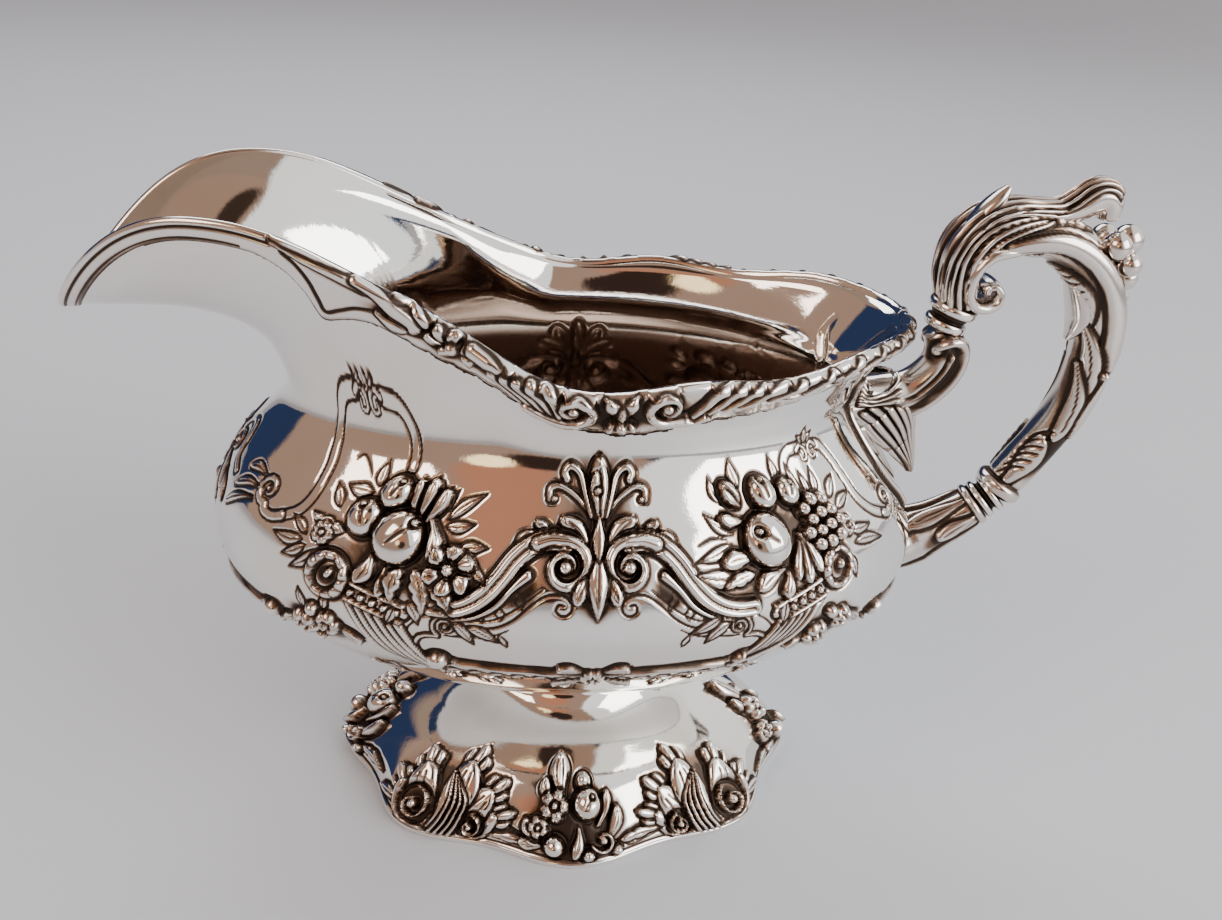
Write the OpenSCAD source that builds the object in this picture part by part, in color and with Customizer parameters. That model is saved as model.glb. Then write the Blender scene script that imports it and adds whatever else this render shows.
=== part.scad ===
// Sauce boat in silver: an oval bowl with a long pouring lip, a lobed pedestal
// foot, a cast border round the rim and a cast scroll handle.
// Millimetres, +Z up. The lip points to -X and the handle to +X. The origin is the
// centre of the foot on the surface that the boat stands on.

/* [Bowl] */
// Thickness of the bowl's wall
bowl_wall = 1.2; // [0.8:0.1:1.6]
// Half of the belly's greatest width
belly_half_width = 47; // [43:0.5:50]
// Reach of the lip's tip in front of the foot's centre
lip_reach = 99; // [92:1:102]
// Rise of the lip's sides above the rim
lip_rise = 23.5; // [16:0.5:27]
// Height of the waves in the rim
rim_wave = 0.8; // [0:0.1:1.5]

/* [Rim border] */
// Thickness of the cast border at its fullest
border_full = 2.6; // [1.6:0.1:3.2]
// Rise of the border above the sheet's edge
border_crest = 0.9; // [0.4:0.1:1.4]

/* [Foot] */
// Half length of the foot
foot_half_length = 53; // [48:0.5:56]
// Half width of the foot
foot_half_width = 42; // [38:0.5:45]
// Depth of the hollows between the foot's lobes
foot_lobe = 4; // [0:0.25:5]
// Thickness of the foot's wall
foot_wall = 1.1; // [0.8:0.1:1.5]
// Height of the wire under the foot's edge
foot_wire_height = 1.6; // [1:0.1:2.2]
// Width of the wire under the foot's edge
foot_wire_width = 2.4; // [1.8:0.1:3]
// Height of the top of the foot's neck
foot_height = 28; // [26:0.25:29]

/* [Handle] */
// Radius of the ringed collar under the loop
upper_collar_radius = 5.2; // [5:0.1:5.6]
// Radius of the ringed collar at the loop's lower end
lower_collar_radius = 4.7; // [4.6:0.1:5.2]
// Fullness of the acanthus fan that carries the handle
fan_fullness = 1; // [0.8:0.05:1.1]

/* [Fineness] */
// Points round the bowl and the foot
around = 60; // [48:4:72]
// Rings between two levels of the bowl
rings_per_level = 2; // [2:1:3]

/* [Hidden] */

silver = [0.80, 0.79, 0.77];

bowl_floor = 31;
apex = 0.68;          // where along the lip its sides are highest
tube_sides = 16;
leaf_sides = 12;
step = 0.02;          // half step used to measure a surface's slope

// Levels of the bowl from the floor to the rim. Each is front reach, front height,
// half width, side height, back reach, back height, lip rise, lip taper, end roundness.
bowl_levels = [
    [20, bowl_floor, 15.5, bowl_floor, 20, bowl_floor, 0, 0, 2],
    [33, 32.5, 23, 32.5, 31.5, 32.5, 0, 0, 2],
    [51, 38, 30.5, 38, 45.5, 38, 0, 0, 2],
    [66.5, 48, 40, 48, 61.5, 48, 0, 0, 2],
    [75, 60, belly_half_width, 60, 71.5, 60, 0, 0, 2],
    [75, 72, 46, 72, 69.5, 72, 0, 0, 2],
    [69, 83, 39.5, 83, 62.5, 83, 0, 0, 2],
    [60.5, 92.5, 33.5, 92.5, 54.5, 93.5, 0, 0, 2],
    [60.5, 99, 32.3, 98.5, 55.5, 99, 1.5, 0.2, 2.3],
    [65.5, 106, 33, 103, 58.5, 104, 6, 0.5, 3],
    [78, 109.3, 34, 106, 61.5, 108.5, 13, 0.8, 5],
    [lip_reach, 109, 35, 108.5, 63.5, 111.5, lip_rise, 1, 10],
];
rim_level = len(bowl_levels) - 1;
bowl_rings = rim_level * rings_per_level;

// Levels of the foot from the neck to the edge: half length, half width, height, lobe share.
foot_levels = [
    [19.5, 15, foot_height, 0],
    [20.5, 16, 24.5, 0],
    [24.5, 19.5, 21, 0.05],
    [32, 25.5, 17.5, 0.1],
    [41, 32.5, 13, 0.25],
    [48.5, 38.3, 7, 0.6],
    [foot_half_length, foot_half_width, foot_wire_height, 1],
];
foot_rings = 2 * (len(foot_levels) - 1);

// ---- curves ------------------------------------------------------------------

// Smooth value between the entries of a list: numbers or vectors.
function catmull(a, b, c, d, t) =
    0.5 * (2 * b + (c - a) * t + (2 * a - 5 * b + 4 * c - d) * t * t
           + (3 * b - a - 3 * c + d) * t * t * t);

function along(list, v) =
    let (
        last = len(list) - 1,
        i = min(max(floor(v), 0), last - 1),
        before = i > 0 ? list[i - 1] : 2 * list[0] - list[1],
        after = i + 2 <= last ? list[i + 2] : 2 * list[last] - list[last - 1]
    )
    catmull(before, list[i], list[i + 1], after, v - i);

function unit(v) = v / norm(v);

// ---- bowl surface ------------------------------------------------------------

function lip_bump(s) =
    s < apex ? pow(cos(90 * (apex - s) / apex), 2) : 1 - pow((s - apex) / (1 - apex), 2.3);

// How much the lip narrows: a waist close behind the bowl, then a steady taper.
waist_depth = 0.17;
lip_narrowing = 0.4;
function ease(t) = let (u = min(max(t, 0), 1)) u * u * (3 - 2 * u);
function narrowing(s) =
    waist_depth * ease((s - 0.08) / 0.25) + lip_narrowing * pow(max(s - 0.2, 0), 1.3);

// The rim rises and falls in shallow waves that fade out along the lip.
function wave(s, front) =
    rim_wave * cos(360 * (s - 0.27) / 0.54) * (front ? min(max((0.55 - s) / 0.25, 0), 1) : 1);

// A point of the bowl's outer surface at level v and angle a: 0 is the back, 180 the lip.
function bowl_point(v, a) =
    let (
        l = along(bowl_levels, v),
        front = cos(a) < 0,
        s = abs(cos(a)),
        side = sin(a) < 0 ? -1 : 1,
        taper = front ? l[7] * narrowing(s) : 0.04 * l[7] * s,
        round_off = sqrt(max(1 - pow(s, front ? l[8] : 2), 0)),
        rise = front ? l[6] * lip_bump(s) : 0,
        waves = max(v - rim_level + 1, 0) * wave(s, front)
    )
    [
        front ? -l[0] * s : l[4] * s,
        side * l[2] * (1 - taper) * round_off,
        l[3] + ((front ? l[1] : l[5]) - l[3]) * s * s + rise + waves,
    ];

function bowl_normal(v, a) =
    let (lo = max(v - step, 0), hi = min(v + step, rim_level))
    unit(cross(bowl_point(v, a + 1) - bowl_point(v, a - 1), bowl_point(hi, a) - bowl_point(lo, a)));

// A point at height h above (or, below zero, inside) the bowl's outer surface.
function bowl_offset(v, a, h) = bowl_point(v, a) + h * bowl_normal(v, a);

// ---- foot surface ------------------------------------------------------------

// Share of the lobe's depth at angle a: 0 on the eight points, 1 half way between them.
function lobe(a) = 0.5 - 0.5 * cos(8 * a);

function foot_point(v, a) =
    let (
        l = along(foot_levels, v),
        shrink = 1 - foot_lobe * l[3] * lobe(a) / foot_half_length
    )
    [l[0] * cos(a) * shrink, l[1] * sin(a) * shrink, l[2]];

function foot_normal(v, a) =
    let (last = len(foot_levels) - 1, lo = max(v - step, 0), hi = min(v + step, last))
    unit(cross(foot_point(hi, a) - foot_point(lo, a), foot_point(v, a + 1) - foot_point(v, a - 1)));

// ---- closed solids from rings of points ---------------------------------------

// Rings of equal length become one solid. Ring 0 and the last ring are closed by caps.
module skin(rings) {
    n = len(rings[0]);
    last = len(rings) - 1;
    points = [for (r = rings) each r];
    sides = [
        for (i = [0:last - 1]) for (j = [0:n - 1])
        let (k = (j + 1) % n, p = i * n + j, q = i * n + k, r = p + n, s = q + n)
        each [[p, q, r], [q, s, r]]
    ];
    caps = [
        for (j = [1:n - 2]) each [[0, j + 1, j], [last * n, last * n + j, last * n + j + 1]]
    ];
    polyhedron(points = points, faces = concat(sides, caps));
}

// Rings that run from the outer edge over a thin wall to the inner edge, closed on themselves.
module wall_loop(rings) {
    n = len(rings[0]);
    count = len(rings);
    points = [for (r = rings) each r];
    polyhedron(points = points, faces = [
        for (i = [0:count - 1]) for (j = [0:n - 1])
        let (
            k = (j + 1) % n, u = (i + 1) % count,
            p = i * n + j, q = i * n + k, r = u * n + j, s = u * n + k
        )
        each [[p, q, r], [q, s, r]]
    ]);
}

// A ring of a tube along points in the XZ plane. Each row is x, z, thickness in the plane,
// width across.
function tube_ring(rows, i, per, sides) =
    let (
        last = (len(rows) - 1) * per,
        here = along(rows, i / per),
        ahead = along(rows, min(i + 0.3, last) / per),
        behind = along(rows, max(i - 0.3, 0) / per),
        t = unit([ahead[0] - behind[0], ahead[1] - behind[1]])
    )
    [
        for (k = [0:sides - 1])
        let (a = 360 * k / sides, u = here[2] / 2 * cos(a), w = here[3] / 2 * sin(a))
        [here[0] - t[1] * u, w, here[1] + t[0] * u]
    ];

module tube(rows, per, sides) {
    skin([for (i = [0:(len(rows) - 1) * per]) tube_ring(rows, i, per, sides)]);
}

// ---- bowl and rim border -------------------------------------------------------

module bowl() {
    outer = [
        for (i = [bowl_rings:-1:0])
        [for (j = [0:around - 1]) bowl_point(i / rings_per_level, 360 * j / around)]
    ];
    inner = [
        for (i = [0:bowl_rings])
        [for (j = [0:around - 1]) bowl_offset(i / rings_per_level, 360 * j / around, -bowl_wall)]
    ];
    color(silver) bowl_skin(concat(outer, inner));
}

// The bowl's rings run down the outside and up the inside. Its floor is closed on both sides.
module bowl_skin(rings) {
    n = around;
    half = bowl_rings + 1;
    points = concat([for (r = rings) each r], [[0, 0, bowl_floor], [0, 0, bowl_floor + bowl_wall]]);
    below = len(points) - 2;
    above = len(points) - 1;
    outside = half - 1;
    inside = half;
    walls = [
        for (i = [0:2 * half - 1]) for (j = [0:n - 1])
        let (
            u = (i + 1) % (2 * half), k = (j + 1) % n,
            p = i * n + j, q = i * n + k, r = u * n + j, s = u * n + k
        )
        each i == outside ? [] : [[p, q, r], [q, s, r]]
    ];
    floors = [
        for (j = [0:n - 1])
        let (k = (j + 1) % n)
        each [[outside * n + j, outside * n + k, below], [inside * n + k, inside * n + j, above]]
    ];
    polyhedron(points = points, faces = concat(walls, floors));
}

// How far below the rim the border reaches, in equal steps of angle from the lip's tip to
// the back: a thin edge along the lip, a shield drop, a deep middle and a slimmer back.
border_reach = [3, 3, 3, 3, 3, 3.2, 4.5, 9, 16, 12.5, 10.5, 8.8, 8.3, 8.5, 8.5, 8, 7.5, 7, 6.5,
                6.2, 6, 5.5, 5, 4.5, 4.5];

// The level that lies a distance d below the rim on the line of angle a.
function level_below(a, d, v = rim_level, steps = 4) =
    steps == 0 ? v :
    let (pace = norm(bowl_point(v, a) - bowl_point(v - step, a)) / step)
    level_below(a, d, v - d / 4 / pace, steps - 1);

function border_foot(a) =
    let (from_tip = abs(180 - a) / 180 * (len(border_reach) - 1))
    level_below(a, along(border_reach, from_tip));

function border_thickness(a) = border_full * (cos(a) < 0 ? 1 - 0.45 * abs(cos(a)) : 1);

border_sink = -0.1;      // castings bed this far into the bowl's skin
function border_ring(a) =
    let (
        low = border_foot(a), mid = (low + rim_level) / 2, t = border_thickness(a),
        up = [0, 0, border_crest], top = rim_level
    )
    [
        bowl_offset(low, a, border_sink),
        bowl_offset(low, a, 0.35 * t),
        bowl_offset(mid, a, 0.9 * t),
        bowl_offset(top, a, t),
        bowl_offset(top, a, 0.55 * t) + up,
        bowl_offset(top, a, -0.5 * bowl_wall) + up,
        bowl_offset(top, a, border_sink),
        bowl_offset(mid, a, border_sink),
    ];

module rim_border_half() {
    pieces = 48;
    skin([for (i = [0:pieces]) border_ring(180 + 180 * i / pieces)]);
}

module rim_border_near() { color(silver) rim_border_half(); }
module rim_border_far() { color(silver) mirror([0, 1, 0]) rim_border_half(); }

// ---- foot -----------------------------------------------------------------------

module foot_collar() {
    a = foot_levels[0][0];
    b = foot_levels[0][1];
    height = bowl_floor - foot_height;
    profile = [[-3, 0], [0, 0], [0.9, 0.2], [0.9, 0.4], [0.3, 0.55], [0.7, 0.8], [0.4, 1], [-3, 1]];
    color(silver) wall_loop([
        for (p = profile)
        [
            for (j = [0:around - 1])
            let (t = 360 * j / around)
            [(a + p[0]) * cos(t), -(b + p[0]) * sin(t), foot_height + height * p[1]]
        ]
    ]);
}

module foot() {
    last = len(foot_levels) - 1;
    outer = [
        for (i = [0:foot_rings])
        [for (j = [0:around - 1]) foot_point(last * i / foot_rings, 360 * j / around)]
    ];
    inner = [
        for (i = [foot_rings:-1:0])
        [
            for (j = [0:around - 1])
            let (v = last * i / foot_rings, a = 360 * j / around, p = foot_point(v, a))
            let (q = p - foot_wall * foot_normal(v, a))
            i == foot_rings || i == 0 ? [q[0], q[1], p[2]] : q
        ]
    ];
    color(silver) wall_loop(concat(outer, inner));
}

module foot_rim_wire() {
    edge = [for (j = [0:around - 1]) foot_point(len(foot_levels) - 1, 360 * j / around)];
    outline = [for (p = edge) [p[0], p[1]]];
    within = [for (p = outline) p - foot_wire_width * unit(p)];
    color(silver) linear_extrude(height = foot_wire_height) difference() {
        polygon(outline);
        polygon(within);
    }
}

// ---- handle ---------------------------------------------------------------------

upper_collar = [71.9, 108.4];   // x and z of the collar's lower face
upper_height = 6;
upper_lean = 17;                // the upper collar's axis leans this far towards +X
lower_collar = [88.6, 67.4];    // x and z of the collar's lower face
lower_height = 4.2;
lower_lean = 48;                // the lower collar's axis leans this far towards +X
loop_start = upper_collar + upper_height * [sin(upper_lean), cos(upper_lean)];
loop_end = lower_collar + lower_height * [sin(lower_lean), cos(lower_lean)];

// Rows of x, z, thickness in the plane, width across.
upper_stem_path = [
    [62.5, 93.4, 8.8, 9.4], [67, 94.4, 8.6, 8.8], [70.6, 97.2, 8.4, 8.4],
    [73, 101, 8.2, 8.2], [73.2, 105, 8, 8.2], [upper_collar[0], upper_collar[1], 8, 8.2],
];
loop_path = [
    [loop_start[0], loop_start[1], 8.2, 8.6], [72.9, 119.5, 8.2, 9], [73.8, 124.6, 8.4, 9.4],
    [77.6, 128.4, 8.6, 9.8], [84, 129.6, 8.8, 10], [90.6, 128.4, 9.2, 10], [97, 124.8, 9.8, 10],
    [101.8, 119, 10, 10], [104.4, 112, 10, 10], [105.1, 104.5, 9.8, 10], [104.4, 96.5, 9.2, 9.8],
    [102.4, 89.5, 8.9, 9.6], [99.4, 83.2, 8.9, 9.4], [95.8, 77, 8.9, 9.2],
    [loop_end[0], loop_end[1], 8.4, 8.6],
];
lower_stem_path = [
    [75.5, 58.6, 11.5, 11.5], [80, 61.2, 9.8, 9.8], [84.6, 64.2, 8.8, 9],
    [lower_collar[0], lower_collar[1], 8, 8.4],
];
volute_path = [
    [86, 125.8, 2.6, 8.6], [81.5, 125.9, 2.8, 9.6], [77.4, 125.2, 2.8, 10], [74.8, 122.8, 2.8, 10.2],
    [73.9, 119.8, 2.8, 10.2], [74.2, 116.9, 2.6, 9.6], [75.8, 114.9, 2.6, 8.8],
    [78.2, 114.3, 2.6, 8], [80.4, 115.2, 2.5, 7.4], [81, 117.2, 2.4, 7], [79.9, 118.7, 2.3, 6.6],
    [78.5, 118.3, 2.2, 6.2], [78.4, 117.1, 2, 5.8],
];
cap_path = [
    [70.6, 115.6, 2, 7.4], [69.8, 120.2, 2.4, 9], [70.2, 125, 2.6, 9.8], [72.2, 129.2, 2.6, 10],
    [76.2, 132.6, 2.8, 9.6], [81.5, 134, 2.8, 9], [86.5, 133.8, 3, 8], [90.5, 133.9, 3.6, 7],
    [93.8, 135.6, 4.2, 6.4], [97, 138.2, 4.2, 6], [99.8, 138.3, 3.8, 5.8], [101.2, 136, 3.4, 5.4],
    [100.7, 133.6, 3, 4.6],
];
back_leaf_path = [
    [72.6, 130.2, 2, 5], [75.4, 133, 2.8, 5], [78, 135, 2.8, 4.2], [79.6, 136, 1.4, 2],
];
inner_leaf_path = [
    [94.6, 121.2, 2, 3], [97.6, 117, 3.6, 6.4], [99, 112.8, 3.6, 6.4], [98.8, 109.2, 2, 3.6],
    [98.2, 107.4, 0.8, 1.4],
];
// Places of the fruits and berries: x, y, z, radius.
fruits = [
    [102.6, -2.6, 127.6, 2.5], [102.6, 2.6, 127.6, 2.5], [105.8, 0, 128.4, 2.9],
    [106.4, -2.2, 124.2, 2.3], [106.4, 2.2, 124.2, 2.3], [107.6, 0, 120.8, 2.4], [107.5, 0, 117, 2],
];

// A fan of acanthus on the bowl's back. It lies on the bowl along its sides, swells into the
// stem above and its tip springs free below.
module handle_fan_leaf() {
    top = 7.9;              // level of the upper edge
    bottom = 5.2;           // level of the tip
    columns = 8;
    edge_share = 0.16;      // thickness of the sides as a share of the middle
    // Rows of half angle, height of the back and height of the front off the bowl.
    fan_rows = [
        [13, border_sink, 2], [18, border_sink, 5], [19, border_sink, 8], [17, border_sink, 10],
        [14, border_sink, 10.6], [11, 0.2, 9.6], [8, 0.9, 7.6], [5, 1.6, 5.4], [2, 2.2, 3.2],
    ];
    last = len(fan_rows) - 1;
    color(silver) skin([
        for (i = [0:last])
        let (
            v = top + (bottom - top) * i / last,
            back = fan_rows[i][1],
            rise = fan_fullness * (fan_rows[i][2] - back)
        )
        [
            for (j = [-columns:columns])
            let (f = j / columns, crown = pow(cos(90 * f), 1.4))
                bowl_offset(v, fan_rows[i][0] * f, back + rise * (edge_share + (1 - edge_share) * crown)),
            for (j = [columns:-1:-columns]) bowl_offset(v, fan_rows[i][0] * j / columns, back),
        ]
    ]);
}

// A stem flares from an oval footprint on the bowl's back and follows its path from there.
module stem(path, level, half_levels, half_angle, lift) {
    per = 3;
    footprint = [
        for (k = [0:tube_sides - 1])
        let (a = 360 * k / tube_sides)
        bowl_offset(level + half_levels * cos(a), half_angle * sin(a), lift)
    ];
    first = tube_ring(path, 0, per, tube_sides);
    flare = [for (e = [0, 0.5, 0.8]) [for (k = [0:tube_sides - 1]) (1 - e) * footprint[k] + e * first[k]]];
    skin(concat(flare, [for (i = [0:(len(path) - 1) * per]) tube_ring(path, i, per, tube_sides)]));
}

module handle_upper_stem() { color(silver) stem(upper_stem_path, 7, 0.6, 10, 2); }

// Two rounded rings with a cove between them, turned on the handle's own line.
module ringed_collar(base, lean, radius, height) {
    ring = 0.4 * height;
    cove = radius - 1.2;
    face = radius - 0.8;
    translate([base[0], 0, base[1]]) rotate([0, lean, 0]) rotate_extrude($fn = 96) polygon([
        [0, 0], [face, 0], [radius - 0.2, 0.25 * ring], [radius, 0.5 * ring],
        [radius - 0.2, 0.75 * ring], [cove, ring], [cove, height - ring],
        [radius - 0.2, height - 0.75 * ring], [radius, height - 0.5 * ring],
        [radius - 0.2, height - 0.25 * ring], [face, height], [0, height],
    ]);
}

module handle_upper_collar() {
    color(silver) ringed_collar(upper_collar, upper_lean, upper_collar_radius, upper_height);
}

module handle_lower_collar() {
    color(silver) ringed_collar(lower_collar, lower_lean, lower_collar_radius, lower_height);
}

module handle_loop() { color(silver) tube(loop_path, 3, tube_sides); }
module handle_volute() { color(silver) tube(volute_path, 3, leaf_sides); }
module handle_acanthus_cap() { color(silver) tube(cap_path, 3, leaf_sides); }
module handle_back_leaf() { color(silver) tube(back_leaf_path, 4, leaf_sides); }
module handle_inner_leaf() { color(silver) tube(inner_leaf_path, 4, leaf_sides); }

module handle_fruit_drop() {
    color(silver) for (f = fruits)
        translate([f[0], f[1], f[2]]) sphere(r = f[3], $fn = 48);
}

module handle_lower_stem() { color(silver) stem(lower_stem_path, 4.2, 0.8, 17, border_sink); }

bowl();
rim_border_near();
rim_border_far();
foot_collar();
foot();
foot_rim_wire();
handle_fan_leaf();
handle_upper_stem();
handle_upper_collar();
handle_loop();
handle_volute();
handle_acanthus_cap();
handle_back_leaf();
handle_inner_leaf();
handle_fruit_drop();
handle_lower_collar();
handle_lower_stem();
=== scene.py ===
"""A silver sauce boat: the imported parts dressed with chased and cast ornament, lit and framed.

Shapes are worked out in millimetres and turned into metres when a mesh is made. The bowl and the
foot are drawn on charts: flat sheets of (u, t) in millimetres, u along the side and t up the
profile. Ornament is laid on a chart as heights, back to front, and then bent onto the body.
"""
import math

import bpy
import numpy as np
from mathutils import Matrix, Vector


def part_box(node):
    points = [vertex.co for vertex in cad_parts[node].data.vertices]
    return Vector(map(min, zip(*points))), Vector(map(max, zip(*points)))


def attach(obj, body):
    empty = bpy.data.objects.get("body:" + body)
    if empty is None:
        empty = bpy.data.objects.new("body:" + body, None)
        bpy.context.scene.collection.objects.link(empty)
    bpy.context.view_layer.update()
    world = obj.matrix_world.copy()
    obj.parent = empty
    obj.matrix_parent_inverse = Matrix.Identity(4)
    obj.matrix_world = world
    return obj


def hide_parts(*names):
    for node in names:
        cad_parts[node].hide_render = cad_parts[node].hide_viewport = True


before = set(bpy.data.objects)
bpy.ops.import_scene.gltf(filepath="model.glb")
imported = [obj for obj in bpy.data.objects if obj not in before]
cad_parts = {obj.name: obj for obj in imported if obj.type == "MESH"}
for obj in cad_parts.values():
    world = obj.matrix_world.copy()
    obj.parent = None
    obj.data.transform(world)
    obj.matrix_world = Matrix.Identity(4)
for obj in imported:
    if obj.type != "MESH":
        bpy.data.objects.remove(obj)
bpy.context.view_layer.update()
MM = 0.001


def box_mm(node):
    """A CAD node's lowest and highest corners in millimetres."""
    low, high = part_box(node)
    return np.array(low) / MM, np.array(high) / MM


BOWL_LOW, _ = box_mm("bowl")
FOOT_LOW, FOOT_HIGH = box_mm("foot")
BOWL_FLOOR = BOWL_LOW[2]
LIP_REACH = -BOWL_LOW[0]
FOOT_HEIGHT = FOOT_HIGH[2]
FOOT_HALF_LENGTH = FOOT_HIGH[0]
FOOT_HALF_WIDTH = FOOT_HIGH[1]
WIRE_HEIGHT = FOOT_LOW[2]
BELLY_HALF_WIDTH = 47.0
LIP_RISE = 23.5
RIM_WAVE = 0.8
WALL = 1.2
FOOT_WALL = 1.1


# ---- curves --------------------------------------------------------------------------------

def ease(x):
    x = np.clip(x, 0, 1)
    return x * x * (3 - 2 * x)


def along(rows, v):
    """The smooth value at v between rows of numbers, as the part's own source does it."""
    rows = np.asarray(rows, float)
    v = np.asarray(v, float)
    padded = np.vstack([2 * rows[0] - rows[1], rows, 2 * rows[-1] - rows[-2]])
    i = np.clip(np.floor(v).astype(int), 0, len(rows) - 2)
    x = (v - i)[..., None]
    a, b, c, d = padded[i], padded[i + 1], padded[i + 2], padded[i + 3]
    return 0.5 * (2 * b + (c - a) * x + (2 * a - 5 * b + 4 * c - d) * x * x
                  + (3 * b - a - 3 * c + d) * x ** 3)


def lengths(points):
    """The running length along a line of points."""
    return np.r_[0, np.cumsum(np.linalg.norm(np.diff(points, axis=0), axis=1))]


# ---- the bowl's and the foot's own surfaces ---------------------------------------------------

# Front reach, front height, half width, side height, back reach, back height, lip rise,
# lip narrowing and end roundness of each level, as in the part's source.
BOWL_LEVELS = [
    [20, BOWL_FLOOR, 15.5, BOWL_FLOOR, 20, BOWL_FLOOR, 0, 0, 2],
    [33, 32.5, 23, 32.5, 31.5, 32.5, 0, 0, 2],
    [51, 38, 30.5, 38, 45.5, 38, 0, 0, 2],
    [66.5, 48, 40, 48, 61.5, 48, 0, 0, 2],
    [75, 60, BELLY_HALF_WIDTH, 60, 71.5, 60, 0, 0, 2],
    [75, 72, 46, 72, 69.5, 72, 0, 0, 2],
    [69, 83, 39.5, 83, 62.5, 83, 0, 0, 2],
    [60.5, 92.5, 33.5, 92.5, 54.5, 93.5, 0, 0, 2],
    [60.5, 99, 32.3, 98.5, 55.5, 99, 1.5, 0.2, 2.3],
    [65.5, 106, 33, 103, 58.5, 104, 6, 0.5, 3],
    [78, 109.3, 34, 106, 61.5, 108.5, 13, 0.8, 5],
    [LIP_REACH, 109, 35, 108.5, 63.5, 111.5, LIP_RISE, 1, 10],
]
RIM = len(BOWL_LEVELS) - 1
LIP_APEX = 0.68

# Half length, half width, height and lobe share of each level of the foot.
FOOT_LEVELS = [
    [19.5, 15, FOOT_HEIGHT, 0],
    [20.5, 16, 24.5, 0],
    [24.5, 19.5, 21, 0.05],
    [32, 25.5, 17.5, 0.1],
    [41, 32.5, 13, 0.25],
    [48.5, 38.3, 7, 0.6],
    [FOOT_HALF_LENGTH, FOOT_HALF_WIDTH, WIRE_HEIGHT, 1],
]
FOOT_LOBE = 4.0             # how far the edge draws in between two lobes
FOOT_LOBES = 8


def narrowing(s):
    return 0.17 * ease((s - 0.08) / 0.25) + 0.4 * np.maximum(s - 0.2, 0) ** 1.3


def lip_bump(s):
    rising = np.cos(math.pi / 2 * (LIP_APEX - s) / LIP_APEX) ** 2
    falling = 1 - (np.maximum(s - LIP_APEX, 0) / (1 - LIP_APEX)) ** 2.3
    return np.where(s < LIP_APEX, rising, falling)


def bowl_point(v, a):
    """A point of the bowl's outer surface at level v and angle a: 0 is the back, pi the lip."""
    v, a = np.broadcast_arrays(v, a)
    rows = along(BOWL_LEVELS, v)
    front = np.cos(a) < 0
    s = np.abs(np.cos(a))
    side = np.where(np.sin(a) < 0, -1, 1)
    taper = np.where(front, rows[..., 7] * narrowing(s), 0.04 * rows[..., 7] * s)
    round_off = np.sqrt(np.maximum(1 - s ** np.where(front, rows[..., 8], 2), 0))
    rise = np.where(front, rows[..., 6] * lip_bump(s), 0)
    fade = np.where(front, np.clip((0.55 - s) / 0.25, 0, 1), 1)
    wave = RIM_WAVE * np.cos(2 * math.pi * (s - 0.27) / 0.54) * fade * np.maximum(v - RIM + 1, 0)
    x = np.where(front, -rows[..., 0] * s, rows[..., 4] * s)
    y = side * rows[..., 2] * (1 - taper) * round_off
    end_height = np.where(front, rows[..., 1], rows[..., 5])
    z = rows[..., 3] + (end_height - rows[..., 3]) * s * s + rise + wave
    return np.stack([x, y, z], -1)


def foot_point(v, a):
    v, a = np.broadcast_arrays(v, a)
    rows = along(FOOT_LEVELS, v)
    lobe = 0.5 - 0.5 * np.cos(FOOT_LOBES * a)
    shrink = 1 - FOOT_LOBE * rows[..., 3] * lobe / FOOT_HALF_LENGTH
    return np.stack([rows[..., 0] * np.cos(a) * shrink, rows[..., 1] * np.sin(a) * shrink,
                     rows[..., 2]], -1)


def grid_normals(points):
    """Unit normals of a grid of points, from its neighbours."""
    down = np.gradient(points, axis=0)
    across = np.gradient(points, axis=1)
    n = np.cross(across, down)
    return n / np.maximum(np.linalg.norm(n, axis=-1, keepdims=True), 1e-9)


# ---- relief: ornament drawn on a chart ----------------------------------------------------------

SOFT_EDGE = 0.3            # a shape's outline rises over this width
INK_SPREAD = 0.95          # how far oxide reaches from a line, in widths of the line
CURVE_STEPS_PER_MM = 1.6
FAR = 1e3                  # a distance at which nothing is drawn


def blade_distance(s, q, size, half, slope):
    """Distance to a leaf's outline, from the leaf's own measures and its half width."""
    over = np.maximum(-s, s - 1) * size
    beside = np.abs(q) - half
    return np.where(over > 0, np.hypot(over, np.maximum(beside, 0)), beside * slope)


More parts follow.
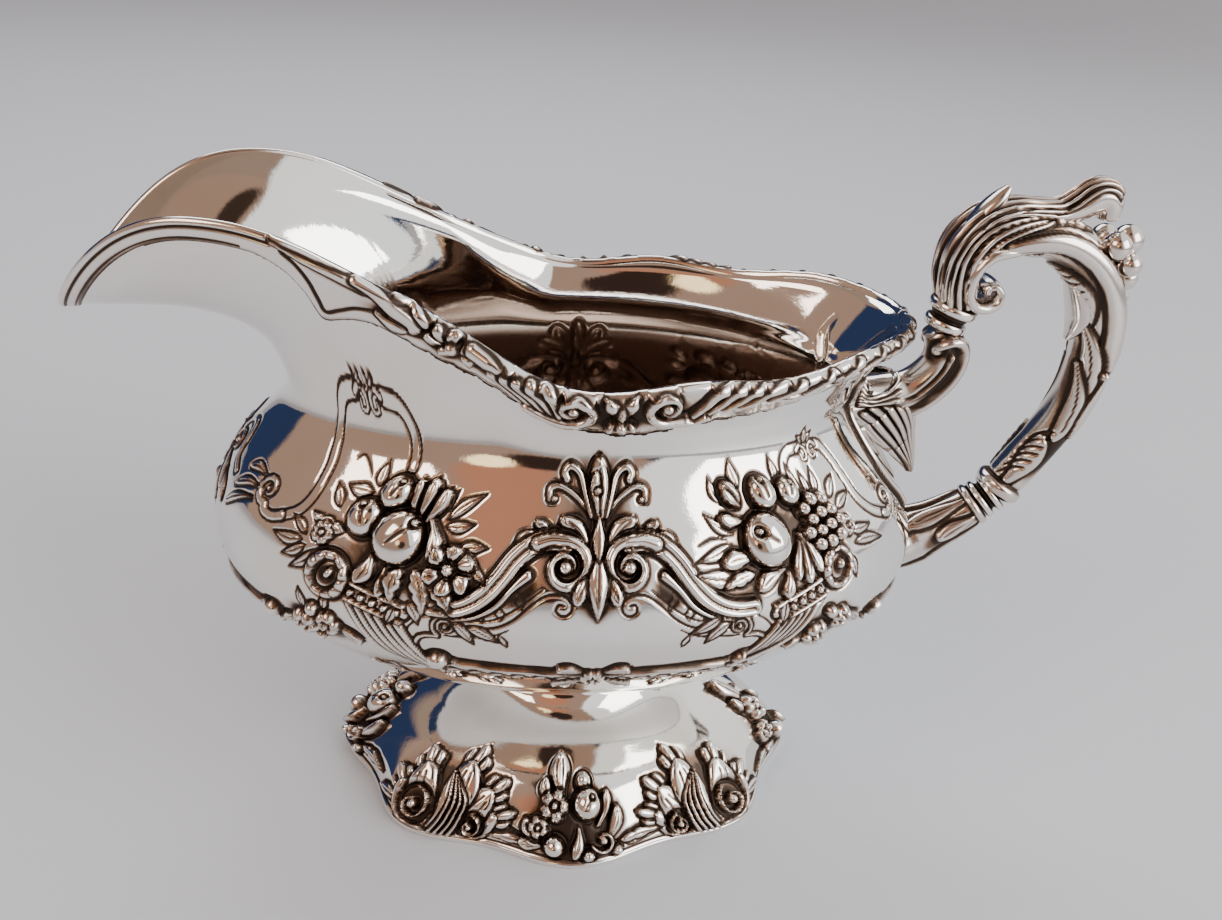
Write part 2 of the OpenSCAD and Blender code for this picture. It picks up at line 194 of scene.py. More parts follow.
class Relief:
    """Heights, and oxide with some painted shade, on a chart whose columns are at u and rows at t, all in
    millimetres.

    Shapes are drawn about origin, a place along u. side is 1, or -1 to draw the mirror image.
    """

    def __init__(self, u, t):
        self.u, self.t = u, t
        self.h = np.zeros((len(t), len(u)))
        self.oxide_and_painted_light = np.zeros_like(self.h)
        self.stand()

    def stand(self, origin=0, side=1):
        self.origin, self.side = origin, side

    def place(self, points):
        points = np.array(points, float).reshape(-1, 2)
        points[:, 0] = self.origin + self.side * points[:, 0]
        return points

    def window(self, points, margin):
        """The part of the chart around some points, as slices, and its own grid."""
        low, high = points.min(0) - margin, points.max(0) + margin
        i = slice(*np.searchsorted(self.t, [low[1], high[1]]))
        j = slice(*np.searchsorted(self.u, [low[0], high[0]]))
        x, y = np.meshgrid(self.u[j], self.t[i])
        return (i, j), x, y

    def around(self, centre, reach):
        """The part of the chart within reach of a centre, and its coordinates from the centre."""
        c = self.place(centre)
        win, x, y = self.window(c, reach)
        return win, x - c[0, 0], y - c[0, 1]

    def lay(self, win, d, height, line=0.32, cut=0.22):
        """Lays a shape over what is there. d is the distance to its outline, negative inside."""
        inside = ease(0.5 - d / SOFT_EDGE)
        self.h[win] += (height - self.h[win]) * inside
        self.oxide_and_painted_light[win] *= 1 - 0.85 * inside
        self.engrave(win, d, line, cut)

    def engrave(self, win, d, line, cut, ink=1.0):
        self.h[win] -= cut * np.exp(-(d / line) ** 2)
        self.oxide_and_painted_light[win] = np.maximum(self.oxide_and_painted_light[win], ink * np.exp(-(d / (INK_SPREAD * line)) ** 4))

    def trace(self, points, margin):
        """Distance from a curve through the points, how far along it (0 to 1), and which side."""
        path = self.place(points)
        if len(path) > 2:
            count = max(int(lengths(path)[-1] * CURVE_STEPS_PER_MM), 4)
            path = along(path, np.linspace(0, len(path) - 1, count))
        run = lengths(path)
        win, x, y = self.window(path, margin)
        d = np.full(x.shape, FAR)
        s = np.zeros(x.shape)
        q = np.zeros(x.shape)
        for k in range(len(path) - 1):
            a, b = path[k], path[k + 1]
            low = np.minimum(a, b) - margin
            high = np.maximum(a, b) + margin
            i = slice(*np.searchsorted(self.t[win[0]], [low[1], high[1]]))
            j = slice(*np.searchsorted(self.u[win[1]], [low[0], high[0]]))
            step = b - a
            long = max(float(step @ step), 1e-9)
            px, py = x[i, j] - a[0], y[i, j] - a[1]
            f = np.clip((px * step[0] + py * step[1]) / long, 0, 1)
            dist = np.hypot(px - f * step[0], py - f * step[1])
            near = dist < d[i, j]
            d[i, j] = np.where(near, dist, d[i, j])
            s[i, j] = np.where(near, (run[k] + f * (run[k + 1] - run[k])) / run[-1], s[i, j])
            cross = self.side * (px * step[1] - py * step[0])
            q[i, j] = np.where(near, np.sign(cross), q[i, j])
        return win, d, s, q

    def line(self, points, width=0.32, depth=0.2, ink=1.0, taper=True):
        """An engraved line that thins towards its ends."""
        win, d, s, _ = self.trace(points, 4 * width)
        thin = 0.35 + 0.65 * np.sqrt(np.clip(np.sin(math.pi * s), 0, 1)) if taper else 1.0
        self.engrave(win, d, width * thin, depth, ink)

    def ribbon(self, points, width, height, ends=(1.0, 1.0), line=0.32, cut=0.22, bands=1):
        """A raised strap along a curve, in one or more rounded bands. ends gives the share of
        its width at each end."""
        win, d, s, q = self.trace(points, width + 1.5)
        half = 0.5 * width * (ends[0] + (ends[1] - ends[0]) * s)
        half = np.maximum(half, 0.05)
        across = np.clip(d / half, 0, 1)
        body = height * (0.35 + 0.65 * np.sqrt(np.maximum(1 - across ** 2, 0)))
        if bands > 1:
            wave = 0.5 + 0.5 * np.cos(math.pi * bands * (1 + q * across) + math.pi)
            body = body * (0.62 + 0.38 * wave ** 0.6)
        self.lay(win, d - half, body, line, cut)
        for k in range(1, bands):
            seam = -1 + 2 * k / bands
            self.engrave(win, np.where(d < half, np.abs(q * d - seam * half), FAR), 0.2, 0.12, 0.9)

    def blade(self, base, tip, bow, margin):
        """Measures on a leaf: the share of its length, the distance from its midrib, its length."""
        a, b = self.place([base, tip])
        size = float(np.hypot(*(b - a)))
        axis = (b - a) / size
        normal = np.array([-axis[1], axis[0]]) * self.side
        win, x, y = self.window(np.array([a, b]), margin + abs(bow) + 1)
        px, py = x - a[0], y - a[1]
        s = (px * axis[0] + py * axis[1]) / size
        q = px * normal[0] + py * normal[1] - bow * np.sin(math.pi * np.clip(s, 0, 1))
        return win, s, q, size

    def leaf(self, base, tip, width, height, bow=0.0, lobes=0, line=0.3):
        """A veined leaf from base to tip. bow bends it to one side; lobes notch its edge."""
        win, s, q, size = self.blade(base, tip, bow, width)
        sc = np.clip(s, 0, 1)
        shape = np.sin(math.pi * sc ** 0.8) ** 1.1
        notch = 1 - 0.3 * (1 - np.abs(np.sin(math.pi * lobes * sc)) ** 0.6) if lobes else 1.0
        half = 0.5 * width * shape * notch + 1e-3
        across = np.clip(np.abs(q) / half, 0, 1)
        body = height * (0.3 + 0.7 * np.sqrt(1 - across ** 2)) * (0.75 + 0.25 * sc)
        vein = np.abs(np.sin(7 * math.pi * (sc - 0.35 * across)))
        body = body - 0.08 * (1 - vein) ** 2 * np.sin(math.pi * sc)
        self.lay(win, blade_distance(s, q, size, half, 0.8), body, line, 0.2)
        midrib = np.where((s > 0.05) & (s < 0.88), np.abs(q), FAR)
        self.engrave(win, midrib, 0.2, 0.16, 0.8)

    def petal(self, base, tip, width, height, bow=0.0, ribs=2, line=0.34):
        """A lobe of acanthus: narrow at its root, round at its tip and grooved along its length."""
        win, s, q, size = self.blade(base, tip, bow, width)
        sc = np.clip(s, 0, 1)
        half = 0.5 * width * (0.35 + 0.65 * ease(sc / 0.7)) * np.sqrt(np.maximum(1 - sc ** 5, 1e-4))
        across = np.clip(q / half, -1, 1)
        body = height * (0.35 + 0.65 * np.sqrt(1 - across ** 2)) * (0.6 + 0.4 * np.sin(0.5 * math.pi * sc))
        self.lay(win, blade_distance(s, q, size, half, 0.85), body, line, 0.3)
        for k in range(1, ribs + 1):
            seam = (-1 + 2 * k / (ribs + 1)) * half * (1 - 0.35 * sc)
            groove = np.where((s > 0.02) & (s < 0.86), np.abs(q - seam), FAR)
            self.engrave(win, groove, 0.24, 0.2, 0.85)

    def shade(self, centre, radius, ink, depth=0.0):
        """A soft pool of oxide round a group of ornament, laid down before the ornament. On the upper stem's
        plain silver it is a painted dark reflection.
        """
        reach = np.broadcast_to(radius, 2)
        win, x, y = self.around(centre, 1.6 * reach)
        pool = np.exp(-((x / reach[0]) ** 2 + (y / reach[1]) ** 2) ** 2)
        self.oxide_and_painted_light[win] = np.maximum(self.oxide_and_painted_light[win], ink * pool)
        self.h[win] -= depth * pool

    def dome(self, centre, radius, height, stretch=1.0, angle=0.0, line=0.35, cut=0.3):
        """A rounded fruit or boss, stretched along an angle in degrees."""
        win, x, y = self.around(centre, radius * max(stretch, 1) + 1.2)
        turn = math.radians(angle) * self.side
        f = (x * math.cos(turn) + y * math.sin(turn)) / stretch
        g = -x * math.sin(turn) + y * math.cos(turn)
        r = np.hypot(f, g)
        body = height * np.sqrt(np.maximum(1 - (r / radius) ** 2, 0))
        self.lay(win, r - radius, body + 0.25, line, cut)

    def volute(self, centre, radius, start, turns, width, height, out=None, ball=0.9, spin=1):
        """A strap that leaves the points in out and winds in round a centre to a ball."""
        angles = np.linspace(0, turns, max(int(turns * 14), 6))
        r = radius * (1 - 0.78 * angles / turns)
        turn = np.radians(start) + spin * 2 * math.pi * angles
        spiral = np.stack([centre[0] + r * np.cos(turn), centre[1] + r * np.sin(turn)], 1)
        path = np.vstack([out, spiral]) if out is not None else spiral
        share = min(1.0, 0.3 + 0.1 * width)
        self.ribbon(path, width, height, ends=(share if out is None else 1.0, 0.45))
        self.dome(centre, ball, height * 0.9)

    def rosette(self, centre, radius, petals=6, height=0.9, turn=0.0):
        win, x, y = self.around(centre, radius + 1)
        r = np.hypot(x, y)
        petal = np.abs(np.cos(0.5 * petals * (np.arctan2(y, x) + turn)))
        rim = radius * (0.72 + 0.28 * petal ** 0.6)
        ratio = np.clip(r / rim, 0, 1)
        body = height * (0.25 + 0.75 * np.sin(math.pi * ratio) * petal ** 0.5)
        self.lay(win, r - rim, body, 0.28, 0.25)
        self.engrave(win, np.where(r < rim, (1 - petal) * r * 0.9, FAR), 0.25, 0.2, 0.8)
        self.dome(centre, radius * 0.27, height * 0.9)

    def patina(self):
        """Oxide gathers wherever the surface lies lower than what is round it; crests are rubbed clean."""
        over = self.h - self.smooth(14)
        hollow = np.clip(-over / 0.4, 0, 1)
        crest = np.clip(over / 0.3, 0, 1)
        self.oxide_and_painted_light = np.clip(self.oxide_and_painted_light * (1 - 0.6 * crest) + 0.55 * hollow, 0, 1)

    def smooth(self, passes):
        """The heights blurred, for the back of the sheet."""
        h = self.h.copy()
        for _ in range(passes):
            h[1:-1] = 0.25 * (h[:-2] + 2 * h[1:-1] + h[2:])
            h[:, 1:-1] = 0.25 * (h[:, :-2] + 2 * h[:, 1:-1] + h[:, 2:])
        return h


# ---- meshes ------------------------------------------------------------------------------------

def quads(rows, columns):
    """Faces of rings of points joined row by row; the last column joins the first."""
    i = np.arange(rows - 1)[:, None]
    j = np.arange(columns)[None]
    k = (j + 1) % columns
    return np.stack([i * columns + j, i * columns + k, (i + 1) * columns + k, (i + 1) * columns + j],
                    -1).reshape(-1, 4)


def fan(ring, centre, flip=False):
    """Triangles from a ring of point numbers to a centre point."""
    ahead = np.roll(ring, -1)
    centre = np.full(len(ring), centre)
    return np.stack([ahead, ring, centre] if flip else [ring, ahead, centre], -1)


def make_mesh(name, points, four, three, material, oxide_and_painted_light, node):
    """The finished piece for a CAD node, from points in millimetres, quads, triangles, and oxide with painted
    shade and reflection.
    """
    corners = np.vstack([four[:, [0, 1, 2]], four[:, [0, 2, 3]], three])
    a, b, c = (points[corners[:, k]] for k in range(3))
    if (a * np.cross(b, c)).sum() < 0:
        four, three = four[:, ::-1], three[:, ::-1]
    mesh = bpy.data.meshes.new(name)
    mesh.vertices.add(len(points))
    mesh.vertices.foreach_set("co", (np.asarray(points) * MM).astype(np.float32).ravel())
    loops = np.concatenate([four.ravel(), three.ravel()]).astype(np.int32)
    sizes = np.r_[np.full(len(four), 4), np.full(len(three), 3)]
    mesh.loops.add(len(loops))
    mesh.loops.foreach_set("vertex_index", loops)
    mesh.polygons.add(len(sizes))
    mesh.polygons.foreach_set("loop_start", np.r_[0, np.cumsum(sizes)[:-1]].astype(np.int32))
    mesh.polygons.foreach_set("use_smooth", np.ones(len(sizes), bool))
    mesh.update(calc_edges=True)
    mesh.validate()
    layer = mesh.attributes.new("oxide_and_painted_light", "FLOAT", "POINT")
    layer.data.foreach_set("value", np.ravel(oxide_and_painted_light).astype(np.float32))
    piece = bpy.data.objects.new(name, mesh)
    bpy.context.scene.collection.objects.link(piece)
    mesh.materials.append(material)
    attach(piece, "root")
    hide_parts(node)


def capped_faces(rows, columns):
    """Faces of rings of points joined row to row, closed by two middle points that follow them."""
    count = rows * columns
    ends = [fan(np.arange(columns), count, True), fan(np.arange(count - columns, count), count + 1)]
    return quads(rows, columns), np.vstack(ends)


def capped(name, grid, darkness, material, node, middles=None):
    """A piece whose rings of points are the rows of a grid, closed at both ends."""
    if middles is None:
        middles = grid[[0, -1]].mean(axis=1)
    four, three = capped_faces(*grid.shape[:2])
    points = np.vstack([grid.reshape(-1, 3), middles])
    make_mesh(name, points, four, three, material, np.r_[darkness.ravel(), 0, 0], node)


def loop_of_rings(name, rings, darkness, material, node):
    """A closed band: rings of points joined one to the next and the last to the first."""
    shell = np.array(rings)
    rows, columns = shell.shape[:2]
    seam = quads(2, columns)
    seam = np.where(seam >= columns, seam - columns, seam + (rows - 1) * columns)
    make_mesh(name, shell.reshape(-1, 3), np.vstack([quads(rows, columns), seam]),
              np.zeros((0, 3), int), material, darkness, node)


# ---- the bowl: its chart and its chased ornament -------------------------------------------------

BELLY_LEVEL = 4.3           # u is measured round the bowl at this level
ORNAMENT_BAND = 34, 90      # the chart's rows are fine between these heights
# Painted shade darkens the inside of the bowl below the height INSIDE_DARK_BELOW.
INSIDE_PAINTED_SHADE = 0.45
INSIDE_DARK_BELOW = 84


def bowl_chart():
    """The angles of the near side with their u, and the levels with their t."""
    angles = np.linspace(math.pi, 2 * math.pi, 2001)
    u = lengths(bowl_point(BELLY_LEVEL, angles))
    u -= np.interp(1.5 * math.pi, angles, u)
    levels = np.linspace(0, RIM, 1201)
    return angles, u, levels, lengths(bowl_point(levels, 1.5 * math.pi))


def leaves(r, rows):
    """Flat chased leaves from rows of base, tip, width and bow."""
    for base, tip, width, bow in rows:
        r.leaf(base, tip, width, 0.3, bow, line=0.27)


def fruit(r, centre, radius, height, eye=None):
    r.dome(centre, radius, height, line=0.55, cut=0.5)
    if eye:
        way = np.subtract(eye, centre)
        r.line([eye, np.add(centre, 0.1 * way), np.subtract(centre, 0.5 * way)], 0.35, 0.35, 0.75)
        r.dome(eye, 0.2 * radius, height * 0.92, line=0.45, cut=0.4)


def basket(r, left, right, foot):
    """A fluted vase: a beaded band from left to right and flutes that run down to its foot."""
    left, right, foot = np.array(left, float), np.array(right, float), np.array(foot, float)
    across = right - left
    down = np.array([across[1], -across[0]]) / np.hypot(*across)
    flutes = 6
    for k in range(flutes):
        f = (k + 0.5) / flutes
        top = left + f * across + 3.6 * down
        end = foot + (f - 0.5) * 0.5 * across
        middle = 0.5 * (top + end) + (f - 0.5) * 0.25 * across + 1.2 * down
        r.ribbon([top, middle, end], 2.0, 0.6, (1.0, 0.5), line=0.3, cut=0.4)
    band = left + 1.8 * down
    r.ribbon([band, band + across], 2.6, 0.2, line=0.4, cut=0.4)
    for share in (0.1, 0.3, 0.5, 0.7, 0.9):
        r.dome(band + share * across, 0.8, 1.0, line=0.25, cut=0.25)
    r.ribbon([left, right], 1.0, 1.2)
    r.ribbon([left + 3.5 * down, right + 3.5 * down], 0.8, 0.9)


def left_basket(r):
    r.line([(-49.5, 75.5), (-51.5, 77.5), (-54, 79), (-55.5, 78)], 0.3)
    basket(r, (-46.5, 56), (-35, 53.5), (-32, 37))
    r.shade((-39, 65), (10, 8), 1.0, 0.1)
    r.shade((-30, 61), (7, 7), 1.0, 0.1)
    r.shade((-49, 57), (6, 5), 0.8)
    leaves(r, [
        ((-47, 73), (-53.4, 73.2), 2.8, 0.4), ((-46.7, 74), (-47.4, 79.2), 2.6, 0.3),
        ((-52.7, 68.7), (-55.7, 73), 2.4, -0.3), ((-58, 60.8), (-65.4, 60.2), 2.5, 0.5),
        ((-53.5, 60), (-59.8, 54.8), 2.5, 0.4), ((-57, 60), (-62, 56.8), 2.2, 0.3),
        ((-57.5, 62), (-62, 64.8), 2.0, -0.3), ((-32.5, 71.3), (-29.4, 76), 2.2, 0.3),
        ((-30, 70.4), (-23.4, 75.9), 2.5, 0.5), ((-30, 69.2), (-24.2, 70.2), 2.5, -0.3),
        ((-27, 65), (-20.8, 66.2), 2.6, 0.4), ((-26, 63), (-20.2, 59.6), 2.6, 0.4),
        ((-34.6, 54.6), (-32.4, 50.2), 2.6, 0.4), ((-26, 52), (-22, 47.6), 2.2, 0.3),
        ((-23.6, 51.4), (-17.4, 48.6), 2.2, 0.3), ((-37, 53), (-38.8, 49), 2.2, 0.2),
    ])
    r.leaf((-49.5, 64.6), (-57.9, 66.6), 3.8, 1.1, 0.7, 3)
    r.rosette((-54, 63.4), 2.7, 5, 1.2)
    horn(r, (-51, 56), 4.8)
    r.petal((-42.4, 62), (-44.8, 56.4), 4.2, 1.5, 0.5, 1, line=0.5)
    r.petal((-39.4, 60.5), (-40.2, 54.6), 3.6, 1.2, 0.4, 1, line=0.5)
    r.leaf((-36.6, 61), (-37.4, 53.8), 4.2, 1.6, -0.8, 3, line=0.5)
    r.leaf((-34, 61), (-31.4, 52.6), 5.2, 1.9, 0.9, 4, line=0.5)
    r.leaf((-31, 59), (-26.2, 53.4), 4.4, 1.6, 0.7, 4, line=0.5)
    r.petal((-37, 70.5), (-37.6, 77), 3.2, 1.9, 0.4, 1, line=0.5)
    r.petal((-35.6, 70), (-34.6, 77.6), 3.4, 2.1, -0.3, 1, line=0.5)
    r.petal((-34, 69.4), (-31.2, 76), 3.4, 2.1, -0.5, 1, line=0.5)
    fruit(r, (-42, 73.7), 3.5, 2.4, (-41.4, 75.8))
    fruit(r, (-46.4, 68.1), 3.8, 2.4, (-47.2, 70.6))
    r.petal((-32.8, 70), (-31.4, 62.6), 3.6, 2.2, 0.9, 1, line=0.5)
    for way, long in ((20, 5), (75, 4.4), (135, 4.6), (200, 4.8), (255, 4.6), (315, 5)):
        c, s = math.cos(math.radians(way)), math.sin(math.radians(way))
        r.petal((-27.6 + c, 61.6 + s), (-27.6 + long * c, 61.6 + long * s), 4.2, 2.0, 0.5, 1, line=0.45)
    r.dome((-27.6, 61.6), 1.4, 2.7, line=0.5, cut=0.5)
    fruit(r, (-38.5, 65.9), 5.3, 3.2, (-35.5, 69))


def horn(r, centre, radius):
    """The ribbed, curled mouth of a horn of plenty."""
    r.dome(centre, radius, 1.7, 1.05, 60, line=0.5, cut=0.5)
    for k in range(11):
        turn = 2 * math.pi * k / 11
        way = np.array([math.cos(turn), math.sin(turn)])
        r.line([np.add(centre, 0.58 * radius * way), np.add(centre, 0.9 * radius * way)], 0.36, 0.3, 1.0)
    r.dome(centre, 0.52 * radius, 0.6, 1.3, 60, line=0.5, cut=0.5)
    r.shade(centre, 0.42 * radius, 1.0, 0.5)
    r.dome(np.add(centre, (0.12 * radius, 0.1 * radius)), 0.2 * radius, 1.2, 1.4, 60)


def right_basket(r):
    basket(r, (35, 53.5), (46, 56.5), (26.5, 39))
    r.shade((38, 66), (10, 8), 1.0, 0.1)
    r.shade((49, 66), (8, 7), 1.0, 0.1)
    r.shade((31, 61), (6, 5), 0.7)
    leaves(r, [
        ((33.2, 76.4), (32.2, 82), 3, 0.4), ((43.2, 76), (43.4, 81.2), 2.3, -0.4),
        ((27.6, 74), (26, 79.2), 2.5, 0.4), ((28.6, 68.2), (22.8, 72.6), 2.4, 0.4),
        ((27.8, 66.5), (19.6, 63.9), 2.6, 0.4), ((29.6, 60), (18.6, 61.8), 4, 0.6),
        ((48.4, 72.6), (47.6, 79), 2.0, 0.2), ((50.6, 72.4), (50.6, 77), 1.9, 0),
        ((52.2, 72), (54.2, 77.2), 2.1, -0.3), ((55.4, 70.4), (59.8, 74.4), 2.3, 0.3),
        ((56.4, 68), (62, 70.4), 2.4, 0.3), ((57, 63.6), (64.6, 62.4), 2.4, -0.5),
        ((57.6, 60.4), (66.8, 58.4), 2.4, 0.6), ((54.6, 59), (56, 53.6), 2.6, 0.3),
        ((37.4, 54), (36.2, 49), 2.4, 0.3), ((25.6, 52), (20.4, 48), 2.4, -0.4),
        ((24, 53.4), (17.4, 50.4), 2.2, 0.3),
    ])
    r.line([(27, 67.4), (24, 68), (20.4, 66.8)], 0.34, 0.25)
    r.leaf((31.6, 60.6), (24.4, 58.4), 3.6, 1.0, -0.5, 3, line=0.45)
    r.petal((32, 63.4), (25, 63), 4.4, 1.7, -0.5, 1, line=0.5)
    r.petal((31.4, 70.4), (26.2, 71.6), 3.4, 1.7, 0.4, 1, line=0.5)
    horn(r, (51, 57.6), 4.4)
    for tip, wide in (((39.8, 57.6), 3.4), ((42.6, 56.6), 3.6), ((45.8, 58), 3.4)):
        r.petal((44, 66), tip, wide, 1.9, 0.3, 1, line=0.5)
    for u, t in [(46.6, 70.2), (49.2, 71.6), (52, 71), (47.8, 67.8), (50.6, 68.8), (53.4, 68.6), (46, 65.6),
                 (49, 65.4), (52, 66), (54.8, 66.2), (50.6, 63), (53.6, 63.6), (47.6, 63)]:
        r.dome((u, t), 1.6, 2.2, line=0.45, cut=0.45)
    r.rosette((57, 64.4), 2.4, 5, 1.3, 0.3)
    r.dome((30, 75.6), 2.3, 1.9, 1.25, 120, line=0.5, cut=0.5)
    r.petal((31.6, 73), (28.2, 76.4), 2.4, 2.2, 0.3, 1)
    fruit(r, (44.6, 74), 2.9, 2.1, (45.6, 75.6))
    fruit(r, (38, 74.8), 3.5, 2.5, (38, 77.2))
    r.petal((38, 60.4), (31.6, 57.4), 4, 1.5, -0.5, 1, line=0.5)
    r.petal((39, 59.6), (37.4, 54.8), 3.4, 1.4, 0.4, 1, line=0.5)
    fruit(r, (35.8, 66.3), 5.5, 3.2, (33.6, 68))


def low_roses(r):
    for u, t in ((-54, 44), (48, 45)):
        r.stand(u)
        r.shade((0, t), (7, 4), 1.0, 0.1)
        r.petal((5, t + 2), (9.6, t - 1.4), 3, 1.2, -0.3, 2)
        r.petal((-5, t), (-9.4, t - 2.4), 3, 1.2, 0.3, 2)
        r.rosette((-3, t - 0.6), 3.3, 5, 2.0, 0.4)
        r.rosette((3, t + 1.6), 2.9, 5, 1.9)
        r.dome((0, t + 4), 1.4, 1.6)
        r.dome((-0.6, t - 3.4), 1.2, 1.4)
    r.stand()
    leaves(r, [((-56, 47), (-57.4, 51.4), 2, 0.3), ((-52, 48), (-51.4, 52.4), 2, -0.2)])


def cartouche(r, outer, inner, knot, flame):
    """A double-lined strap on each side of two curls, with a flame of the given height above."""
    for leg in (outer, inner):
        r.ribbon(leg, 2.3, 0.12, line=0.27, cut=0.22)
    u, t = knot
    foot = t + 0.8
    for way in (-1, 1):
        r.stand(u, way)
        curl = [(3.4, t), (1.8, t + 0.9), (0.5, t - 0.3), (0.9, t - 1.9), (2.3, t - 1.8), (2.2, t - 0.7)]
        r.ribbon(curl, 1.1, 0.2, (1.0, 0.6), line=0.22, cut=0.16)
        r.leaf((0.7, foot), (2.8, foot + 0.6 * flame), 1.4, 0.25, 0.3, line=0.22)
    r.leaf((0, foot), (0, foot + flame), 1.9, 0.3, line=0.22)
    r.stand()


def centre_cartouche(r):
    """The two bold C scrolls that meet under the rim, with a palmette above and a drop below."""
    r.shade((0, 76), (5.5, 6.5), 1.0, 0.1)
    r.shade((0, 61), (4, 6), 1.0, 0.1)
    for side in (1, -1):
        r.stand(side=side)
        strap = [(30, 54.6), (26.5, 54.8), (23.4, 55.9), (20.5, 58), (18, 61), (15.6, 64.6), (12.6, 67.4),
                 (9.2, 68.5), (6, 68.2)]
        under = [(26, 52.4), (22, 53.6), (18.4, 56), (15.8, 59.4), (13, 62)]
        r.shade((14.4, 59.6), (3.6, 4), 1.0, 0.1)
        r.ribbon(under, 2.2, 0.8, (0.3, 1.0), line=0.4, cut=0.35)
        r.ribbon([(1.6, 73), (4.2, 76), (8, 78.2), (10.4, 77.8), (10.2, 76)], 1.9, 0.7, (0.5, 0.9),
                 line=0.36)
        r.dome((9.4, 75.9), 0.7, 0.9)
        r.ribbon([(1.4, 73), (2.8, 77), (4.2, 80.6), (6.4, 82), (7.6, 80.8), (7, 79.6)], 2.4, 1.0, (0.6, 0.8),
                 line=0.38)
        r.petal((16, 64.8), (12.6, 70), 3.2, 1.3, -0.6, 1)
        r.petal((9.6, 67.6), (12.4, 72), 2.8, 1.3, 0.6, 1)
        r.petal((1.6, 66), (7.6, 72.6), 4.4, 1.7, 1.0, 1, line=0.42)
        r.ribbon(strap, 4.6, 2.1, (0.8, 1.0), line=0.42, cut=0.35, bands=2)
        r.volute((6.1, 63.8), 4.9, 78, 1.35, 3.0, 2.5, [(11.6, 67.8), (9.2, 68.6)], ball=1.5)
        r.petal((0.4, 63.4), (4, 57.2), 3.8, 1.7, 0.5, 1, line=0.42)
    r.stand()
    r.leaf((0, 66.5), (0, 54.2), 4.4, 2.5, line=0.42)
    r.petal((0, 70.4), (0, 84), 5, 2.2, 0, 1, line=0.45)
    r.petal((-0.2, 73), (-0.8, 81.4), 2.6, 2.8, 0.3, 0)
    r.dome((-0.4, 77.4), 0.9, 3.2)
    r.leaf((0, 64.5), (0, 73.6), 3, 2.3)


def engraved_scrolls(r):
    """The thin scrolls that hang under the bold ones: engraved lines with looped leaves."""
    for side in (1, -1):
        r.stand(side=side)
        r.line([(27, 50.4), (23, 51), (18.4, 51.7), (15, 53.6), (12, 56.6), (9.4, 58.5), (6.8, 58.8),
                (4.9, 57.6), (4.7, 55.8), (6, 54.8), (7.4, 55.6), (7.1, 56.9), (6.1, 56.8)], 0.32, 0.25,
               taper=False)
        r.line([(23, 52.4), (18.8, 53.2), (15.6, 55), (12.8, 57.2), (10, 59.6)], 0.27, 0.2, 0.9)
        r.line([(27.5, 48.8), (23, 49.2), (18.6, 50), (15.6, 51.6)], 0.27, 0.2, 0.9)
        loops = [((13.6, 55.4), (14.8, 59), 0.9), ((17.2, 53.2), (17.8, 56), 0.9),
                 ((20.6, 52.4), (21.6, 54.6), 0.8), ((17.5, 50.4), (16, 47.6), 0.7)]
        for (u, t), (tip_u, tip_t), wide in loops:
            for way in (-1, 1):
                middle = (0.5 * (u + tip_u) + way * wide, 0.5 * (t + tip_t))
                r.line([(u, t), middle, (tip_u, tip_t)], 0.27, 0.2, 0.95)
        r.volute((27.4, 50.8), 2.6, -60, 1.2, 1.3, 0.35, [(31.6, 38.6), (33.4, 42.4), (33, 46.8), (31, 48.4)],
                 ball=0.5)
        r.line([(34, 37.6), (36, 41.6), (35.8, 46.4), (33.4, 50.6), (29.6, 53.6)], 0.27, 0.2, 0.9)
    r.stand()


def bottom_band(r):
    """A narrow cast line under the belly, with a boss in its middle and a leaf at each end."""
    for centre, reach in ((0, 29), (r.u[0], 31), (r.u[-1], 29)):
        r.stand(centre)
        line = [(reach * f, 40.6 + 0.9 * abs(f)) for f in np.linspace(-1, 1, 9)]
        r.shade((0, 38.4), (reach, 1.6), 0.9)
        r.ribbon([(u, t - 1) for u, t in line], 2.4, 0.6, line=0.4, cut=0.4)
        r.ribbon([(u, t + 0.6) for u, t in line], 1.1, 1.3, line=0.45, cut=0.45)
        for k in range(-6, 7):
            u, way = 4.2 * k, 1 if k >= 0 else -1
            r.leaf((u, 39.4), (u + 3.6 * way, 38.4), 1.8, 1.0, 0.3 * way, line=0.36)
        for way in (-1, 1):
            r.stand(centre, way)
            r.petal((1.5, 39.6), (8, 37), 3, 1.4, -0.5, 2)
            r.petal((1.5, 41.5), (7, 43), 2.6, 1.3, 0.4, 2)
            r.petal((reach - 2.9, 42.4), (reach + 2.9, 40.2), 3.6, 1.6, 0.5, 1, line=0.45)
            r.dome((reach + 0.5, 42.4), 2.0, 2.0, 1.2, 20 * way, line=0.5, cut=0.5)
        r.rosette((0, 39.6), 2.8, 6, 1.6)
    r.stand()


def tip_scrolls(r):
    """Half of the chased scrolls under the lip's tip; the far side mirrors the other half."""
    r.stand(r.u[0])
    r.ribbon([(1, 70), (3.4, 73.4), (7, 73.6), (9.6, 71), (10.4, 67.6), (13.6, 65.2)], 1.6, 0.3, line=0.28)
    for base, tip, width, bow in [((3, 66), (9.6, 58.5), 3.4, 0.8), ((2, 62), (6.4, 54), 3.2, 0.6),
                                  ((1, 58), (2.4, 49.6), 2.8, 0.3), ((8.4, 63.4), (12.6, 57), 2.6, 0.5)]:
        r.petal(base, tip, width, 0.5, bow, 1, line=0.3)
    r.volute((5, 68.4), 2.9, 180, 1.3, 1.8, 0.5, ball=0.8, spin=-1)
    r.leaf((0, 60), (0, 72), 4, 0.6, 0, 4, line=0.3)
    r.dome((0, 57), 1.6, 0.8)
    r.stand()


